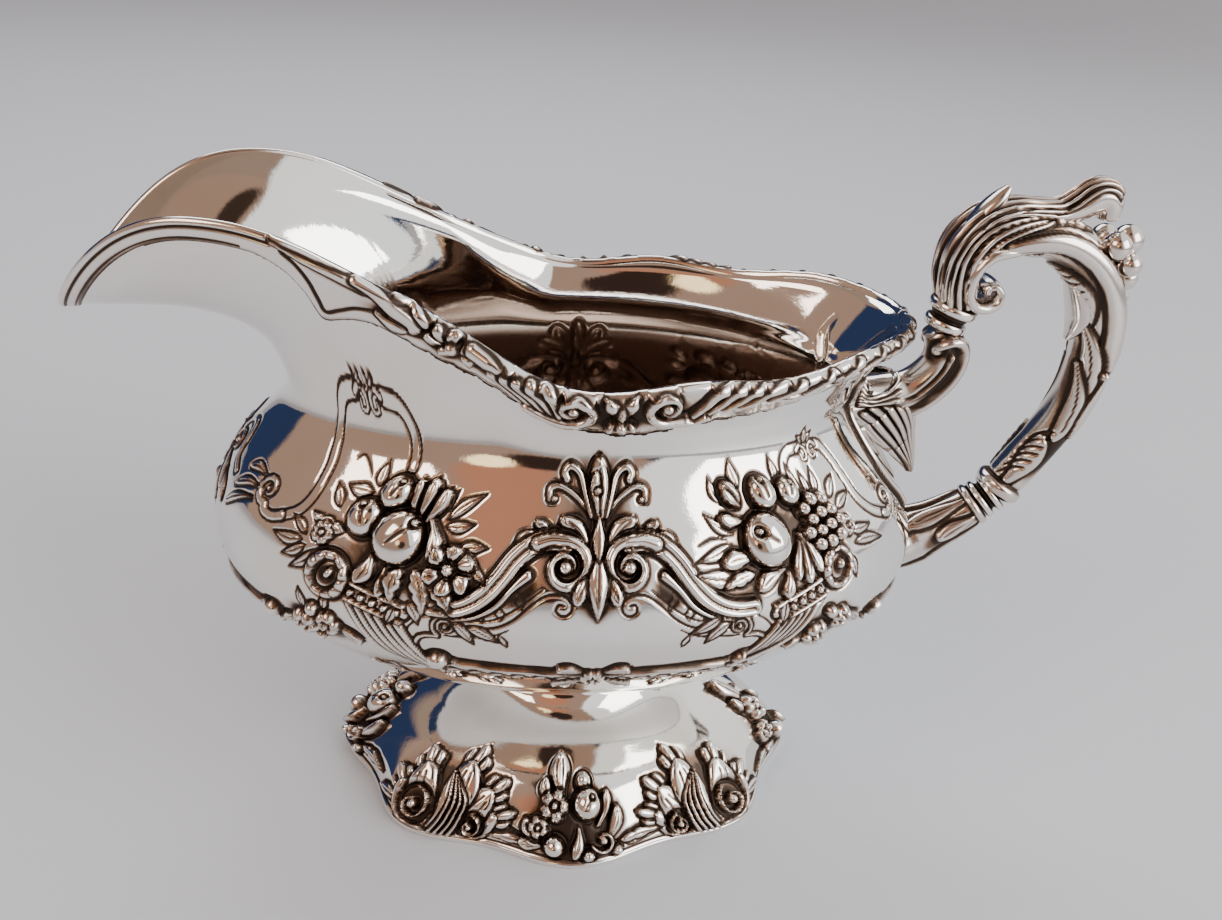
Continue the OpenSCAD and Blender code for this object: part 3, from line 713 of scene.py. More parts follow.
def draw_bowl(r):
    bottom_band(r)
    engraved_scrolls(r)
    tip_scrolls(r)
    r.ribbon([(74, 90), (80, 84), (79.8, 79), (78.6, 74), (78.6, 70), (80, 65.5), (82, 61.5), (83, 58.5)],
             2.2, 1.0, line=0.45, cut=0.3)
    cartouche(
        r,
        [(-57.5, 88.2), (-61, 87.5), (-63, 85.5), (-63.3, 82.5), (-62, 79), (-60.2, 75.5), (-59.4, 71.5),
         (-60, 68), (-61.8, 65.3), (-65, 63.4)],
        [(-41.5, 78.5), (-42.2, 82), (-43.5, 85), (-46, 87.5), (-50, 88)],
        (-54, 88), 1.8)
    r.volute((-71, 67), 3.2, -80, 1.15, 2.4, 0.3, [(-65, 63.4), (-67.4, 62.4), (-70, 62.8)], ball=0.6,
             spin=-1)
    for base, tip, bow in [((-73.6, 68.6), (-80.6, 68.4), -0.9), ((-74, 66), (-82, 63.4), -1.0),
                           ((-74.4, 63.6), (-83, 58.4), -0.9)]:
        r.petal(base, tip, 2.4, 0.4, bow, 1, line=0.28)
    cartouche(
        r,
        [(58.4, 80.6), (60.8, 79.8), (62.4, 77), (63, 73.4), (63.6, 69.8), (65, 66.8), (67.6, 64), (71, 62)],
        [(46.2, 76.5), (47.4, 79), (49.6, 80.8), (53.2, 81)],
        (55.8, 80.4), 3.6)
    r.volute((74, 64.6), 2.8, -110, 1.2, 2.2, 0.3, [(71, 62), (72.5, 61.4)], ball=0.6)
    centre_cartouche(r)
    low_roses(r)
    left_basket(r)
    right_basket(r)
    r.patina()


def build_bowl(material):
    """The chased bowl: the near side's chart bent onto the bowl, and its mirror image."""
    angles, along_u, levels, up_t = bowl_chart()
    u = np.linspace(along_u[0], along_u[-1], 660)
    low, high = ORNAMENT_BAND
    t = np.unique(np.r_[np.linspace(0, low, 30), np.linspace(low, high, 190), np.linspace(high, up_t[-1], 9)])
    relief = Relief(u, t)
    draw_bowl(relief)
    a, v = np.interp(u, along_u, angles), np.interp(t, up_t, levels)
    base = bowl_point(v[:, None], a[None])
    normals = grid_normals(base)
    # Both ends lie in the mirror plane, and the lowest row on the flat bottom.
    normals[:, [0, -1], 1] = 0
    normals[0] = (0, 0, -1)
    normals /= np.linalg.norm(normals, axis=-1, keepdims=True)
    outer = base + relief.h[..., None] * normals
    # The plain inside needs fewer rows than the ornament.
    rows_inside = np.unique(np.r_[0:30:3, 30:len(t):2, len(t) - 1])[::-1]
    # The back of the sheet follows the ornament softly and never passes through its front.
    pressed = np.minimum(0.75 * relief.smooth(6), relief.h + 0.5)
    inner = (base + (pressed - WALL)[..., None] * normals)[rows_inside]
    # Inside, the sheet takes a little of the outer oxide, and painted shade darkens it below a height.
    deep = INSIDE_PAINTED_SHADE * ease((INSIDE_DARK_BELOW - t[rows_inside]) / 6)[:, None]
    inside_oxide_and_shade = np.maximum(0.4 * relief.oxide_and_painted_light[rows_inside], deep)
    shell, darkness = np.vstack([outer, inner]), np.vstack([relief.oxide_and_painted_light, inside_oxide_and_shade])
    far = shell[:, -2:0:-1] * (1, -1, 1)
    darkness = np.concatenate([darkness, darkness[:, -2:0:-1]], axis=1)
    capped("bowl_body", np.concatenate([shell, far], axis=1), darkness, material, "bowl",
           [[0, 0, BOWL_FLOOR], [0, 0, BOWL_FLOOR + WALL]])


# ---- the rim border -------------------------------------------------------------------------------

# How far below the rim the border reaches, at places along the rim from the lip's tip.
BORDER_PLACES = [-125, -64, -58, -54, -49.5, -45, -42, -36, -28, -18, -8, -2, 3, 10, 20, 28, 35, 45, 60, 80]
BORDER_REACH = [3, 3.6, 5, 7.5, 12, 8, 6.6, 6.2, 6.6, 6.8, 7.6, 8.2, 9.2, 9.4, 8.6, 7.2, 6, 5, 4.4, 4]
BORDER_START, BORDER_END = -123.8, 78.7
BORDER_THICK = 1.3
BEAD = 0.95                 # how far the border's round edge stands over the rim
OVER_RIM = 1.2              # t at the rim's edge


def border_chart(u, depths):
    """Points and normals of the bowl's skin at distances below the rim, square to the rim."""
    angles = np.linspace(math.pi, 2 * math.pi, 3001)
    run = lengths(bowl_point(RIM, angles))
    run -= np.interp(1.5 * math.pi, angles, run)
    tiny = 1e-3
    ends = math.pi + tiny, 2 * math.pi - tiny
    a = np.clip(np.interp(u, run, angles), *ends)
    rim_way = bowl_point(RIM, a + tiny) - bowl_point(RIM, a - tiny)
    rim_way /= np.linalg.norm(rim_way, axis=-1, keepdims=True)
    v = np.full_like(a, RIM)
    spots, ups = [], []
    last = 0.0
    for depth in depths:
        by_angle = (bowl_point(v, a + tiny) - bowl_point(v, a - tiny)) / (2 * tiny)
        by_level = (bowl_point(v, a) - bowl_point(v - tiny, a)) / tiny
        slant = (by_level * rim_way).sum(-1) / (by_angle * rim_way).sum(-1)
        up = by_level - slant[:, None] * by_angle
        pace = np.linalg.norm(up, axis=-1)
        v = v - (depth - last) / pace
        a = np.clip(a + slant * (depth - last) / pace, *ends)
        last = depth
        spots.append(bowl_point(v, a))
        ups.append(up / pace[:, None])
    spots, ups = np.array(spots), np.array(ups)
    normals = np.cross(ups, np.broadcast_to(rim_way, ups.shape))
    outward = spots * (1, 1, 0)
    normals *= np.sign((normals * outward).sum(-1).mean())
    normals /= np.linalg.norm(normals, axis=-1, keepdims=True)
    return spots, normals, ups


def draw_border(r):
    """The cast scrolls along the rim. t is 0 just over the rim and negative below it."""
    def under(u):
        return OVER_RIM - np.interp(u, BORDER_PLACES, BORDER_REACH)

    r.line([(u, -1.6) for u in range(-122, -56, 6)], 0.34, 0.35, 1.0, taper=False)
    r.line([(u, under(u) - 1.4) for u in np.arange(-122, -62, 5.0)], 0.26, 0.2, 0.8, taper=False)
    r.line([(u, under(u) + 1.2) for u in (-60, -57, -54, -51.5, -49.5, -47.5, -45, -41)], 0.5, 0.35, 1.0)
    r.ribbon([(-62, -1), (-56, -1.6), (-50, -1.4), (-45, -1.2)], 2.4, 0.9, (0.2, 1.0), line=0.4)
    r.shade((-36, -4), (8, 1.6), 0.9, 0.2)
    r.ribbon([(-47, -0.6), (-43, -1), (-39, -2.4), (-35, -3.4)], 3.4, 1.1, (0.6, 1.0), line=0.45)
    r.ribbon([(-40, 0.4), (-36.5, -0.2), (-33.5, -1.6)], 2.6, 1.2, (0.6, 1.0), line=0.45)
    r.petal((-42, -4.4), (-35.6, -5), 2.6, 0.9, -0.4, 0, line=0.42)
    r.shade((-27.6, -3.2), (6, 3.2), 0.9, 0.2)
    for root, tip in ((-28, (-32.8, -3.8)), (-28, (-31.6, -0.2)), (-27.6, (-27.6, 0.9)),
                      (-28, (-29, -6)), (-26.4, (-23.2, -5)), (-26.4, (-23, -0.4))):
        r.petal((root, -2.8), tip, 3.1, 1.5, 0.4, 0, line=0.45)
    r.dome((-27.4, -2.6), 1.5, 2.0, line=0.5)
    r.shade((-20, -4.6), (4, 1.4), 0.9, 0.2)
    r.ribbon([(-24, -0.6), (-20.8, -1), (-17.6, -2.4)], 3.4, 1.2, (0.8, 1.0), line=0.45)
    r.shade((2.6, -5), (14, 3), 0.9, 0.2)
    for k in range(5):
        strand = [(-19.4 + 2.2 * k, -2.8 + 0.75 * k), (-16.6 + 1.9 * k, -4 + 0.7 * k),
                  (-12.6 + 1.2 * k, -5.8 + 0.5 * k), (-8.6 + 0.5 * k, -6.8 + 0.2 * k)]
        r.ribbon(strand, 2.2, 1.5, (1.15, 0.5), line=0.4, cut=0.4)
    r.volute((-5, -3.2), 3.9, -90, 1.15, 2.7, 1.8, [(-12, -6.8), (-8.8, -7.2)], ball=1.2)
    r.volute((10.7, -3.4), 3.9, -90, 1.15, 2.7, 1.8, [(19, -6.4), (14.8, -7.5)], ball=1.2, spin=-1)
    for way in (-1, 1):
        r.petal((2.8 + 0.3 * way, -7.6), (2.8 + 2.7 * way, 0.2), 3.4, 1.9, 1.2 * way, 0, line=0.5)
    r.petal((2.8, -7.6), (2.8, -0.8), 2.2, 1.9, 0, 0, line=0.45)
    for way in (-1, 1):
        r.petal((2.8, -5.8), (2.8 + 2.2 * way, -8.2), 1.9, 1.6, 0, 0, line=0.42)
    r.dome((2.8, -7.2), 1.1, 2.0, 1.3, 90, line=0.45, cut=0.4)
    for k in range(4):
        start = 15.6 + 3.3 * k
        r.ribbon([(start, -6.4 + 0.5 * k), (start + 2.4, -4.2 + 0.3 * k), (start + 4.4, -1.4 + 0.1 * k),
                  (start + 7.6, -0.2)], 2.8 - 0.2 * k, 1.4 - 0.1 * k, (0.5, 1.0), line=0.4, cut=0.38)
    for k in range(7):
        u = 31 + 6.6 * k
        r.ribbon([(u, -3.6 + 0.1 * k), (u + 2.6, -2.4), (u + 5.6, -0.6)], 2.1, 0.8, (0.5, 1.1), line=0.32)
        r.petal((u + 2, -3.6 + 0.1 * k), (u + 6.4, -3.4 + 0.12 * k), 1.6, 0.6, -0.3, 0, line=0.3)
    for u in (44, 57, 70):
        r.petal((u - 1.6, -2.4), (u + 1.6, -2), 2.4, 1.0, 0.2, 1, line=0.34)
    r.patina()


def build_border(material):
    """The cast border of the near side, and its mirror image as a second piece."""
    u = np.linspace(BORDER_START, BORDER_END, 760)
    depths = np.arange(0, 12.49, 0.26)
    spots, normals, ups = border_chart(u, depths)
    turns = np.linspace(0, math.pi, 13)[1:]
    relief = Relief(u, np.r_[-depths[::-1], BEAD * turns] - OVER_RIM)
    draw_border(relief)
    below = len(depths)
    height, darkness = relief.h[:below][::-1], relief.oxide_and_painted_light[:below][::-1]
    # The lower edge is smooth between its places and scalloped behind the lip.
    reach = np.interp(u, BORDER_PLACES, BORDER_REACH)
    reach = np.convolve(np.pad(reach, 4, "edge"), np.ones(9) / 9, "valid")
    reach = reach + 0.35 * np.abs(np.sin(math.pi * u / 4.4)) * ease((u + 40) / 6)
    # The casting is thin along the lip, rounds off to its lower edge and ends inside the wall.
    f = depths[:, None] / reach
    lean = 0.55 + 0.45 * ease((u + 70) / 20)
    profile = (0.4 + 0.6 * np.sqrt(np.maximum(1 - f, 0))) * ease((1 - f) * 5)
    thick = np.where(f < 1, BORDER_THICK * lean * profile + height * ease((1 - f) * 6), -0.4)
    # A dark line along the casting's lower edge is painted shadow where the border stands off the bowl.
    darkness = np.maximum(darkness, np.exp(-((f - 0.97) * reach / 0.6) ** 2)) * (f < 1.1)
    outer = (spots + thick[..., None] * normals)[::-1]
    # The bead rolls over the rim, and the points behind it are hidden in the wall.
    full = thick[0]
    centre = 0.5 * (full - WALL)[:, None] * normals[0]
    wide = 0.5 * (full + WALL)[:, None]
    crest = (BEAD + 0.5 * relief.h[below:] * np.sin(turns)[:, None])[..., None]
    turns = turns[:, None, None]
    bead = spots[0] + centre + wide * np.cos(turns) * normals[0] + crest * np.sin(turns) * ups[0]
    inside = [spots[0] - (WALL + 0.05) * normals[0] - 0.8 * ups[0],
              spots[0] - (WALL - 0.25) * normals[0] - 1.4 * ups[0]]
    hidden = (spots - 0.6 * normals)[8::6]
    section = np.concatenate([outer, bead, inside, hidden]).transpose(1, 0, 2)
    dark = np.concatenate([darkness[::-1], relief.oxide_and_painted_light[below:], np.zeros((2 + len(hidden), len(u)))]).T
    for name, node, way in (("border_near", "rim_border_near", 1), ("border_far", "rim_border_far", -1)):
        capped(name, section * (1, way, 1), dark, material, node)


# ---- the foot ------------------------------------------------------------------------------------

SHELL_LEVEL = 5.5           # u is measured round the foot at this level
SHELL_TOP = 24              # the chart's rows are fine below this height
UNDERSIDE_TARNISH = 0.25


def foot_chart():
    """The angles round the foot with their u, and the levels with their t up from the edge."""
    angles = np.linspace(0, 2 * math.pi, 8001)
    u = lengths(foot_point(SHELL_LEVEL, angles))
    u -= np.interp(1.5 * math.pi, angles, u)
    last = len(FOOT_LEVELS) - 1
    levels = np.linspace(0, last, 1201)
    t = lengths(foot_point(levels, 1.5 * math.pi))
    return angles, u, levels, t[-1] - t


def foot_shell(r):
    """An acanthus shell over a corner of the foot, with an eye on each side."""
    root = np.array((3.6, 1.2))
    r.shade((4, 9), (13, 9), 1.0, 0.2)
    r.petal((10, 4.6), (24.5, 2.6), 3.4, 1.2, 0.6, 1, line=0.45)
    r.petal((-4, 3.6), (-14, 2.2), 3, 1.0, -0.4, 1, line=0.45)
    for tip, width, bow in [
            ((-8, 7.6), 7.6, -1.6), ((17.2, 7.2), 7.4, 1.4), ((-5, 13.6), 8.6, -1.4),
            ((14.6, 12.6), 8.4, 1.2), ((6.4, 17.4), 10, 1.4)]:
        way_out = np.subtract(tip, root) / np.hypot(*np.subtract(tip, root))
        aside = np.array((way_out[1], -way_out[0]))
        for lean, reach in ((-0.8, 2.2), (0.8, 2.2), (0, 4.2)):
            start = np.subtract(tip, 2.6 * way_out) + 0.22 * width * np.sign(lean) * aside
            end = np.add(tip, reach * way_out) + 0.34 * width * lean * aside
            r.petal(start, end, 0.42 * width, 1.7, 0.3 * lean, 0, line=0.5)
        r.petal(root, tip, width, 1.9, -bow, 2, line=0.38)
    for x, t, radius in ((-2.2, 5, 4.4), (11.6, 3.8, 3.3)):
        r.dome((x, t), radius, 0.3, line=0.8, cut=0.5)
        r.shade((x, t), 0.9 * radius, 1.0, 0.8)
        r.volute((x, t), radius - 0.6, 90 + 10 * r.side, 1.1, 1.2, 2.6, ball=0.28 * radius, spin=-1)
    for k in range(4):
        x = 2.2 + 1.3 * k
        r.ribbon([(x + 1.2, 0.6), (x + 2.8, 4.6), (x + 3, 9), (x + 0.8 - 0.3 * k, 14.4 - 0.6 * k)], 1.1,
                 2.7 - 0.1 * k, (1.2, 0.4), line=0.38, cut=0.5)


def foot_cluster(r):
    """Fruit and flowers heaped over the middle of a side or an end of the foot."""
    r.shade((-1, 8), (10.5, 9), 1.0, 0.2)
    r.leaf((9, 3.4), (20, 4), 3, 1.3, 0.4, 3, line=0.4)
    r.leaf((-10, 3), (-20, 2.6), 2.8, 1.3, -0.4, 3, line=0.4)
    r.petal((-4, 13.6), (-5.2, 22.8), 6.4, 2.4, 0.3, 2, line=0.55)
    r.petal((-6.6, 12), (-8.8, 17.4), 3.6, 1.9, 0.4, 1, line=0.5)
    r.dome((1.6, 17), 2.2, 2.6, line=0.5, cut=0.5)
    r.petal((5.6, 4), (9.6, 11.4), 3.4, 2.2, -1.0, 1, line=0.55)
    r.petal((4.6, 7.4), (7.6, 15), 3, 2.0, -0.5, 1, line=0.5)
    r.petal((-8.2, 4), (-12, 8.4), 3.6, 1.9, 0.6, 1, line=0.55)
    r.petal((-7.8, 3), (-12.6, 3.4), 3.2, 1.6, 0.4, 1, line=0.5)
    r.rosette((-5.4, 11.8), 4.0, 5, 2.9)
    fruit(r, (2.4, 12.2), 3.6, 3.2, (3.6, 13.6))
    r.rosette((-8.6, 7), 2.8, 5, 2.4, 0.5)
    r.petal((0.4, 7.6), (-0.6, 1.4), 3.0, 2.6, 0.5, 1, line=0.6)
    r.volute((5.6, 4.6), 2.6, 200, 1.0, 1.7, 2.4, ball=1.0)
    fruit(r, (-4.8, 3.6), 2.4, 2.8)
    r.dome((2.4, 1.8), 1.5, 2.2, line=0.5, cut=0.5)
    r.dome((8.6, 2), 1.3, 1.9, line=0.5, cut=0.5)


def draw_foot(r, turn):
    """Shells on the four corners, clusters between them and a line along the edge."""
    for corner, side in ((-1.5, -1), (-0.5, 1), (0.5, -1), (1.5, 1)):
        r.stand(corner * turn, side)
        foot_shell(r)
    for middle in (-2, -1, 0, 1, 2):
        r.stand(middle * turn)
        foot_cluster(r)
    r.stand()
    r.line([(u, 1.0) for u in np.linspace(r.u[0], r.u[-1], 61)], 0.3, 0.3, 0.9, taper=False)
    r.patina()


def build_foot(material):
    """The stamped foot: a shell whose outside carries the ornament and whose inside is plain."""
    angles, along_u, levels, down_t = foot_chart()
    u = np.linspace(along_u[0], along_u[-1], 1060)[:-1]
    t = np.r_[np.arange(0, SHELL_TOP, 0.27), np.linspace(SHELL_TOP, down_t[0], 14)]
    relief = Relief(u, t)
    draw_foot(relief, (along_u[-1] - along_u[0]) / 4)
    height = relief.h * ease(t / 0.8)[:, None]
    a, v = np.interp(u, along_u, angles), np.interp(-t, -down_t, levels)
    base = foot_point(v[:, None], a[None])
    around = np.concatenate([base[:, -1:], base, base[:, :1]], axis=1)
    normals = grid_normals(around)[:, 1:-1]
    outer = base + height[..., None] * normals
    inner = (base - FOOT_WALL * normals)[::-1]
    inner[-1, :, 2] = base[0, :, 2]
    inner[0, :, 2] = base[-1, :, 2]
    darkness = np.concatenate([relief.oxide_and_painted_light, np.full(inner.shape[:2], UNDERSIDE_TARNISH)])
    loop_of_rings("foot_body", np.concatenate([outer, inner]), darkness, material, "foot")


def build_foot_trim(material):
    """The ring between the bowl and the foot, and the wire that the foot stands on."""
    turns = np.linspace(0, 2 * math.pi, 361)[:-1]
    low, high = box_mm("foot_collar")
    neck = np.array(FOOT_LEVELS[0][:2], float)
    height = high[2] - low[2]
    # Rows of how far out, the share of the height and the oxide.
    profile = [(-3, 0, 0), (0, 0, 0), (0.8, 0.05, 0), (1.05, 0.2, 0), (1.0, 0.36, 0), (0.5, 0.46, 0.7),
               (0.3, 0.54, 1), (0.55, 0.66, 0.7), (0.85, 0.8, 0), (0.8, 0.92, 0), (0.4, 1, 0), (-3, 1, 0)]
    rings = [np.stack([(neck[0] + out) * np.cos(turns), (neck[1] + out) * np.sin(turns),
                       np.full(turns.shape, low[2] + height * up)], -1) for out, up, _ in profile]
    grooves = np.repeat([row[2] for row in profile], len(turns))
    loop_of_rings("neck_ring", rings, grooves, material, "foot_collar")

    angles = np.linspace(0, 2 * math.pi, 1201)[:-1]
    edge = foot_point(len(FOOT_LEVELS) - 1, angles) * (1, 1, 0)
    inward = -edge / np.linalg.norm(edge, axis=-1, keepdims=True)
    top = 1.6
    section = [(0.35, 0), (0.05, 0.35), (-0.1, 0.85), (0.1, 1.35), (0.45, top), (1.9, top), (2.2, 0.8),
               (2.0, 0)]
    rings = [edge + across * inward + np.array([0, 0, WIRE_HEIGHT * up / top]) for across, up in section]
    clean = np.zeros(len(section) * len(angles))
    loop_of_rings("foot_edge_wire", rings, clean, material, "foot_rim_wire")


# ---- the handle ------------------------------------------------------------------------------------

UPPER_RADIUS = box_mm("handle_upper_collar")[1][1]
LOWER_RADIUS = box_mm("handle_lower_collar")[1][1]
UPPER_HEIGHT, LOWER_HEIGHT = 6.0, 4.2
UPPER_COLLAR, LOWER_COLLAR = [71.9, 108.4], [88.6, 67.4]
UPPER_LEAN = math.radians(17)
LOWER_LEAN = math.radians(48)
HANDLE_PAINTED_REFLECTION = 0.17              # the least oxide on a casting of the handle: a painted brown reflection
FLARE_STEPS = 40            # rings of points where a stem flares onto the bowl
LOOP_START = [UPPER_COLLAR[0] + UPPER_HEIGHT * math.sin(UPPER_LEAN),
              UPPER_COLLAR[1] + UPPER_HEIGHT * math.cos(UPPER_LEAN)]
LOOP_END = [LOWER_COLLAR[0] + LOWER_HEIGHT * math.sin(LOWER_LEAN),
            LOWER_COLLAR[1] + LOWER_HEIGHT * math.cos(LOWER_LEAN)]

# Rows of x, z, thickness in the plane, width across.
UPPER_STEM = [[62.5, 93.4, 8.8, 9.4], [67, 94.4, 8.6, 8.8], [70.6, 97.2, 8.4, 8.4], [73, 101, 8.2, 8.2],
              [73.2, 105, 8, 8.2], [*UPPER_COLLAR, 8, 8.2]]
LOOP = [[*LOOP_START, 8.2, 8.6], [72.9, 119.5, 8.2, 9], [73.8, 124.6, 8.4, 9.4], [77.6, 128.4, 8.6, 9.8],
        [84, 129.6, 8.8, 10], [90.6, 128.4, 9.2, 10], [97, 124.8, 9.8, 10], [101.8, 119, 10, 10],
        [104.4, 112, 10, 10], [105.1, 104.5, 9.8, 10], [104.4, 96.5, 9.2, 9.8], [102.4, 89.5, 8.9, 9.6],
        [99.4, 83.2, 8.9, 9.4], [95.8, 77, 8.9, 9.2], [*LOOP_END, 8.4, 8.6]]
LOWER_STEM = [[75.5, 58.6, 11.5, 11.5], [80, 61.2, 9.8, 9.8], [84.6, 64.2, 8.8, 9], [*LOWER_COLLAR, 8, 8.4]]
VOLUTE = [[87, 126.8, 1.4, 5], [82, 126.4, 3, 10.6], [77.4, 125.4, 3.4, 11.6], [74.8, 122.8, 3.4, 12],
          [73.9, 119.8, 3.4, 12], [74.2, 116.9, 3.2, 11.6], [75.8, 114.9, 3.2, 11], [78.2, 114.3, 3, 10.4],
          [80.4, 115.2, 2.7, 9.8], [81, 117.2, 2.4, 9.2], [79.9, 118.7, 2, 8.8], [78.5, 118.3, 1.8, 8.4],
          [78.4, 117.1, 1.8, 8]]
CAP = [[70.6, 115.6, 2, 7.4], [69.8, 120.2, 2.4, 9], [70.2, 125, 2.6, 9.8], [72.2, 129.2, 2.6, 10],
       [76.2, 132.6, 2.8, 9.6], [81.5, 134, 2.8, 9], [86.5, 133.8, 3.2, 8], [90.5, 133.6, 4.4, 7.2],
       [93.8, 134.8, 6, 6.6], [96.8, 136.6, 7, 6.2], [99, 136.6, 6.6, 6], [100.2, 134.8, 5.4, 5.6],
       [100.4, 132.6, 4, 4.8]]
BACK_LEAF = [[72.6, 130.2, 2, 5], [75.4, 133.4, 3, 5], [77.8, 136, 2.8, 4], [79.2, 138, 1.2, 1.8]]
INNER_LEAF = [[95.4, 121.6, 2.4, 4], [98.6, 117.2, 5, 8], [100.2, 112.8, 5.2, 8.4], [99.8, 109.2, 3.4, 5.4],
              [98.8, 106.8, 1, 1.8]]
# Rows of x, y, z and radius.
FRUITS = [[102.6, -2.8, 127.8, 2.9], [102.6, 2.8, 127.8, 2.9], [106, 0, 128.4, 3.1],
          [106.4, -2.4, 124, 2.5], [106.4, 2.4, 124, 2.5], [107.6, 0, 120.6, 2.7], [107.4, 0, 116.4, 2.1]]


def tube(name, path, draw, material, node, fine=0.34, square=2.0, footprint=None):
    """A piece that follows a path in the XZ plane. Its chart has u along the path and t round
    the near side from the outer line to the inner line; the far side mirrors it. A footprint
    on the bowl's back flares into the path's start."""
    path = np.asarray(path, float)
    rough = along(path, np.linspace(0, len(path) - 1, 400))
    run = lengths(rough[:, :2])
    u = np.linspace(0, run[-1], max(int(run[-1] / fine), 12))
    row = np.stack([np.interp(u, run, rough[:, k]) for k in range(4)], -1)
    way = np.gradient(row[:, :2], u, axis=0)
    way /= np.linalg.norm(way, axis=-1, keepdims=True)
    girth = 0.25 * math.pi * (row[:, 2].max() + row[:, 3].max())
    k = np.linspace(0, math.pi, max(int(girth / fine), 10))
    relief = Relief(u, k / math.pi * girth)
    if draw:
        draw(relief, u[-1], girth)
        relief.patina()
    c = (np.sign(np.cos(k)) * np.abs(np.cos(k)) ** (2 / square))[:, None]
    s = (np.abs(np.sin(k)) ** (2 / square))[:, None]
    deep, wide = 0.5 * row[:, 2], 0.5 * row[:, 3]
    size = np.maximum(np.hypot(c * wide, s * deep), 1e-6)
    in_plane = c * deep + relief.h * (c * wide) / size
    across = s * wide + relief.h * (s * deep) / size
    across[[0, -1]] = 0
    points = np.stack([row[:, 0] - way[:, 1] * in_plane, -across, row[:, 1] + way[:, 0] * in_plane], -1)
    # Every casting of the handle is tinted at least by the painted brown reflection.
    oxide_and_painted_light = np.maximum(relief.oxide_and_painted_light, HANDLE_PAINTED_REFLECTION)
    if footprint:
        level, half_levels, half_angle, lift = footprint
        ring = bowl_point(level + half_levels * np.cos(k), -np.radians(half_angle) * np.sin(k))[:, None]
        ring[..., 0] += lift
        start = points[:, :1]
        gap = np.linalg.norm(ring - start, axis=-1, keepdims=True)
        bend = start - 0.6 * gap * (way[0, 0], 0, way[0, 1])
        share = np.linspace(0, 1, FLARE_STEPS + 1)[None, :-1, None]
        flare = (1 - share) ** 2 * ring + 2 * share * (1 - share) * bend + share ** 2 * start
        points = np.concatenate([flare, points], axis=1)
        oxide_and_painted_light = np.concatenate([np.repeat(oxide_and_painted_light[:, :1], share.size, axis=1), oxide_and_painted_light], axis=1)
    ring = np.concatenate([points, points[-2:0:-1] * (1, -1, 1)]).transpose(1, 0, 2)
    dark = np.concatenate([oxide_and_painted_light, oxide_and_painted_light[-2:0:-1]]).T
    capped(name, ring, dark, material, node)


def draw_loop(r, long, girth):
    """Acanthus over the shoulder of the loop, a broad plain rib down its side and leaves inside."""
    r.shade((16, 0.4 * girth), (16, 5), 0.7)
    r.shade((42, girth - 2.5), (13, 3.6), 1.0, 0.3)
    r.shade((64, girth - 4.5), (10, 4), 0.9, 0.2)
    r.shade((82, 0.45 * girth), (8, 4), 1.0, 0.3)
    for k in range(5):
        t = 1.6 + 2 * k
        fold = [(-1, t + 1.4), (6 + k, t + 0.6), (14 + k, 0.74 * t + 0.8), (24, 0.5 * t + 0.8),
                (34 - 2 * k, 0.35 * t + 0.8)]
        bold = 0.2 * (k % 2)
        r.ribbon(fold, 2 + bold, 0.6 + bold, (1.0, 0.5), line=0.36, cut=0.4)
    for k in range(4):
        u = 9 + 4.2 * k
        r.petal((u, girth - 1.6), (u + 5, girth - 4.6 - 0.2 * k), 3.6, 0.9, 0.8, 0, line=0.5)
    r.petal((32, girth - 0.6), (54, girth - 2.4), 7, 0.8, -1.0, 0, line=0.55)
    for k in range(9):
        u = 32.4 + 2.2 * k
        r.line([(u, girth), (u + 2.4, girth - 2), (u + 3.4, girth - 4.2)], 0.42, 0.45, 1.0)
    r.ribbon([(19, girth - 5), (24, girth - 6.3), (30, 7.6), (37, 6.8), (45, 6.2), (54, 6), (62, 6.4)],
             6, 1.3, (0.7, 0.9), line=0.55, cut=0.5)
    r.petal((50, girth - 2), (70, girth - 6.6), 6, 0.7, -1.4, 1, line=0.6)
    r.petal((61, girth - 3), (80, girth - 7), 5.6, 0.7, -1.2, 1, line=0.6)
    r.petal((60, 3.4), (78, 5), 5, 0.6, 0.8, 0, line=0.5)
    r.petal((long - 2, girth - 5), (long - 17, girth - 4.6), 6.6, 0.9, 1.0, 0, line=0.6)
    for k in range(6):
        u = long - 4.4 - 2 * k
        r.line([(u, girth - 2), (u - 3, girth - 4), (u - 4.6, girth - 6.2)], 0.4, 0.4, 1.0)
    r.dome((63, 6.4), 1.0, 1.5)
    for t in (0, 2.4):
        r.line([(64, t), (72, t + 0.8), (80, t + 0.4), (long - 4, t + 0.6)], 0.36, 0.3, 0.9)
    r.ribbon([(long - 1.6, 0), (long - 1.9, 0.5 * girth), (long - 1.6, girth)], 3.2, 1.1, line=0.5, cut=0.5)


def draw_upper_stem(r, long, girth):
    """A scroll along the stem's outer line that hooks under the collar, over plain silver."""
    r.shade((0.62 * long, 0.66 * girth), (0.4 * long, 3), 1.0, 0.3)
    # A dark pool on the smooth upper half of the stem, with no ornament on it: a painted dark reflection.
    r.shade((0.8 * long, 0.2 * girth), (0.22 * long, 2.8), 0.9)
    r.shade((long - 3, 0.5 * girth), (3, 4), 1.0, 0.3)
    middle = [(-1, 0.56 * girth), (0.35 * long, 0.5 * girth), (0.65 * long, 0.5 * girth),
              (long - 5, 0.54 * girth)]
    r.ribbon(middle, 1.2, 0.8, (0.6, 0.8), line=0.42, cut=0.4)
    hooked = [(-1, 0.86 * girth), (0.4 * long, 0.8 * girth), (0.75 * long, 0.78 * girth),
              (long - 3, 0.7 * girth), (long - 1.6, 0.5 * girth), (long - 2.2, 0.3 * girth),
              (long - 3.6, 0.28 * girth)]
    r.ribbon(hooked, 3.4, 1.5, (0.8, 0.7), line=0.6, cut=0.5)


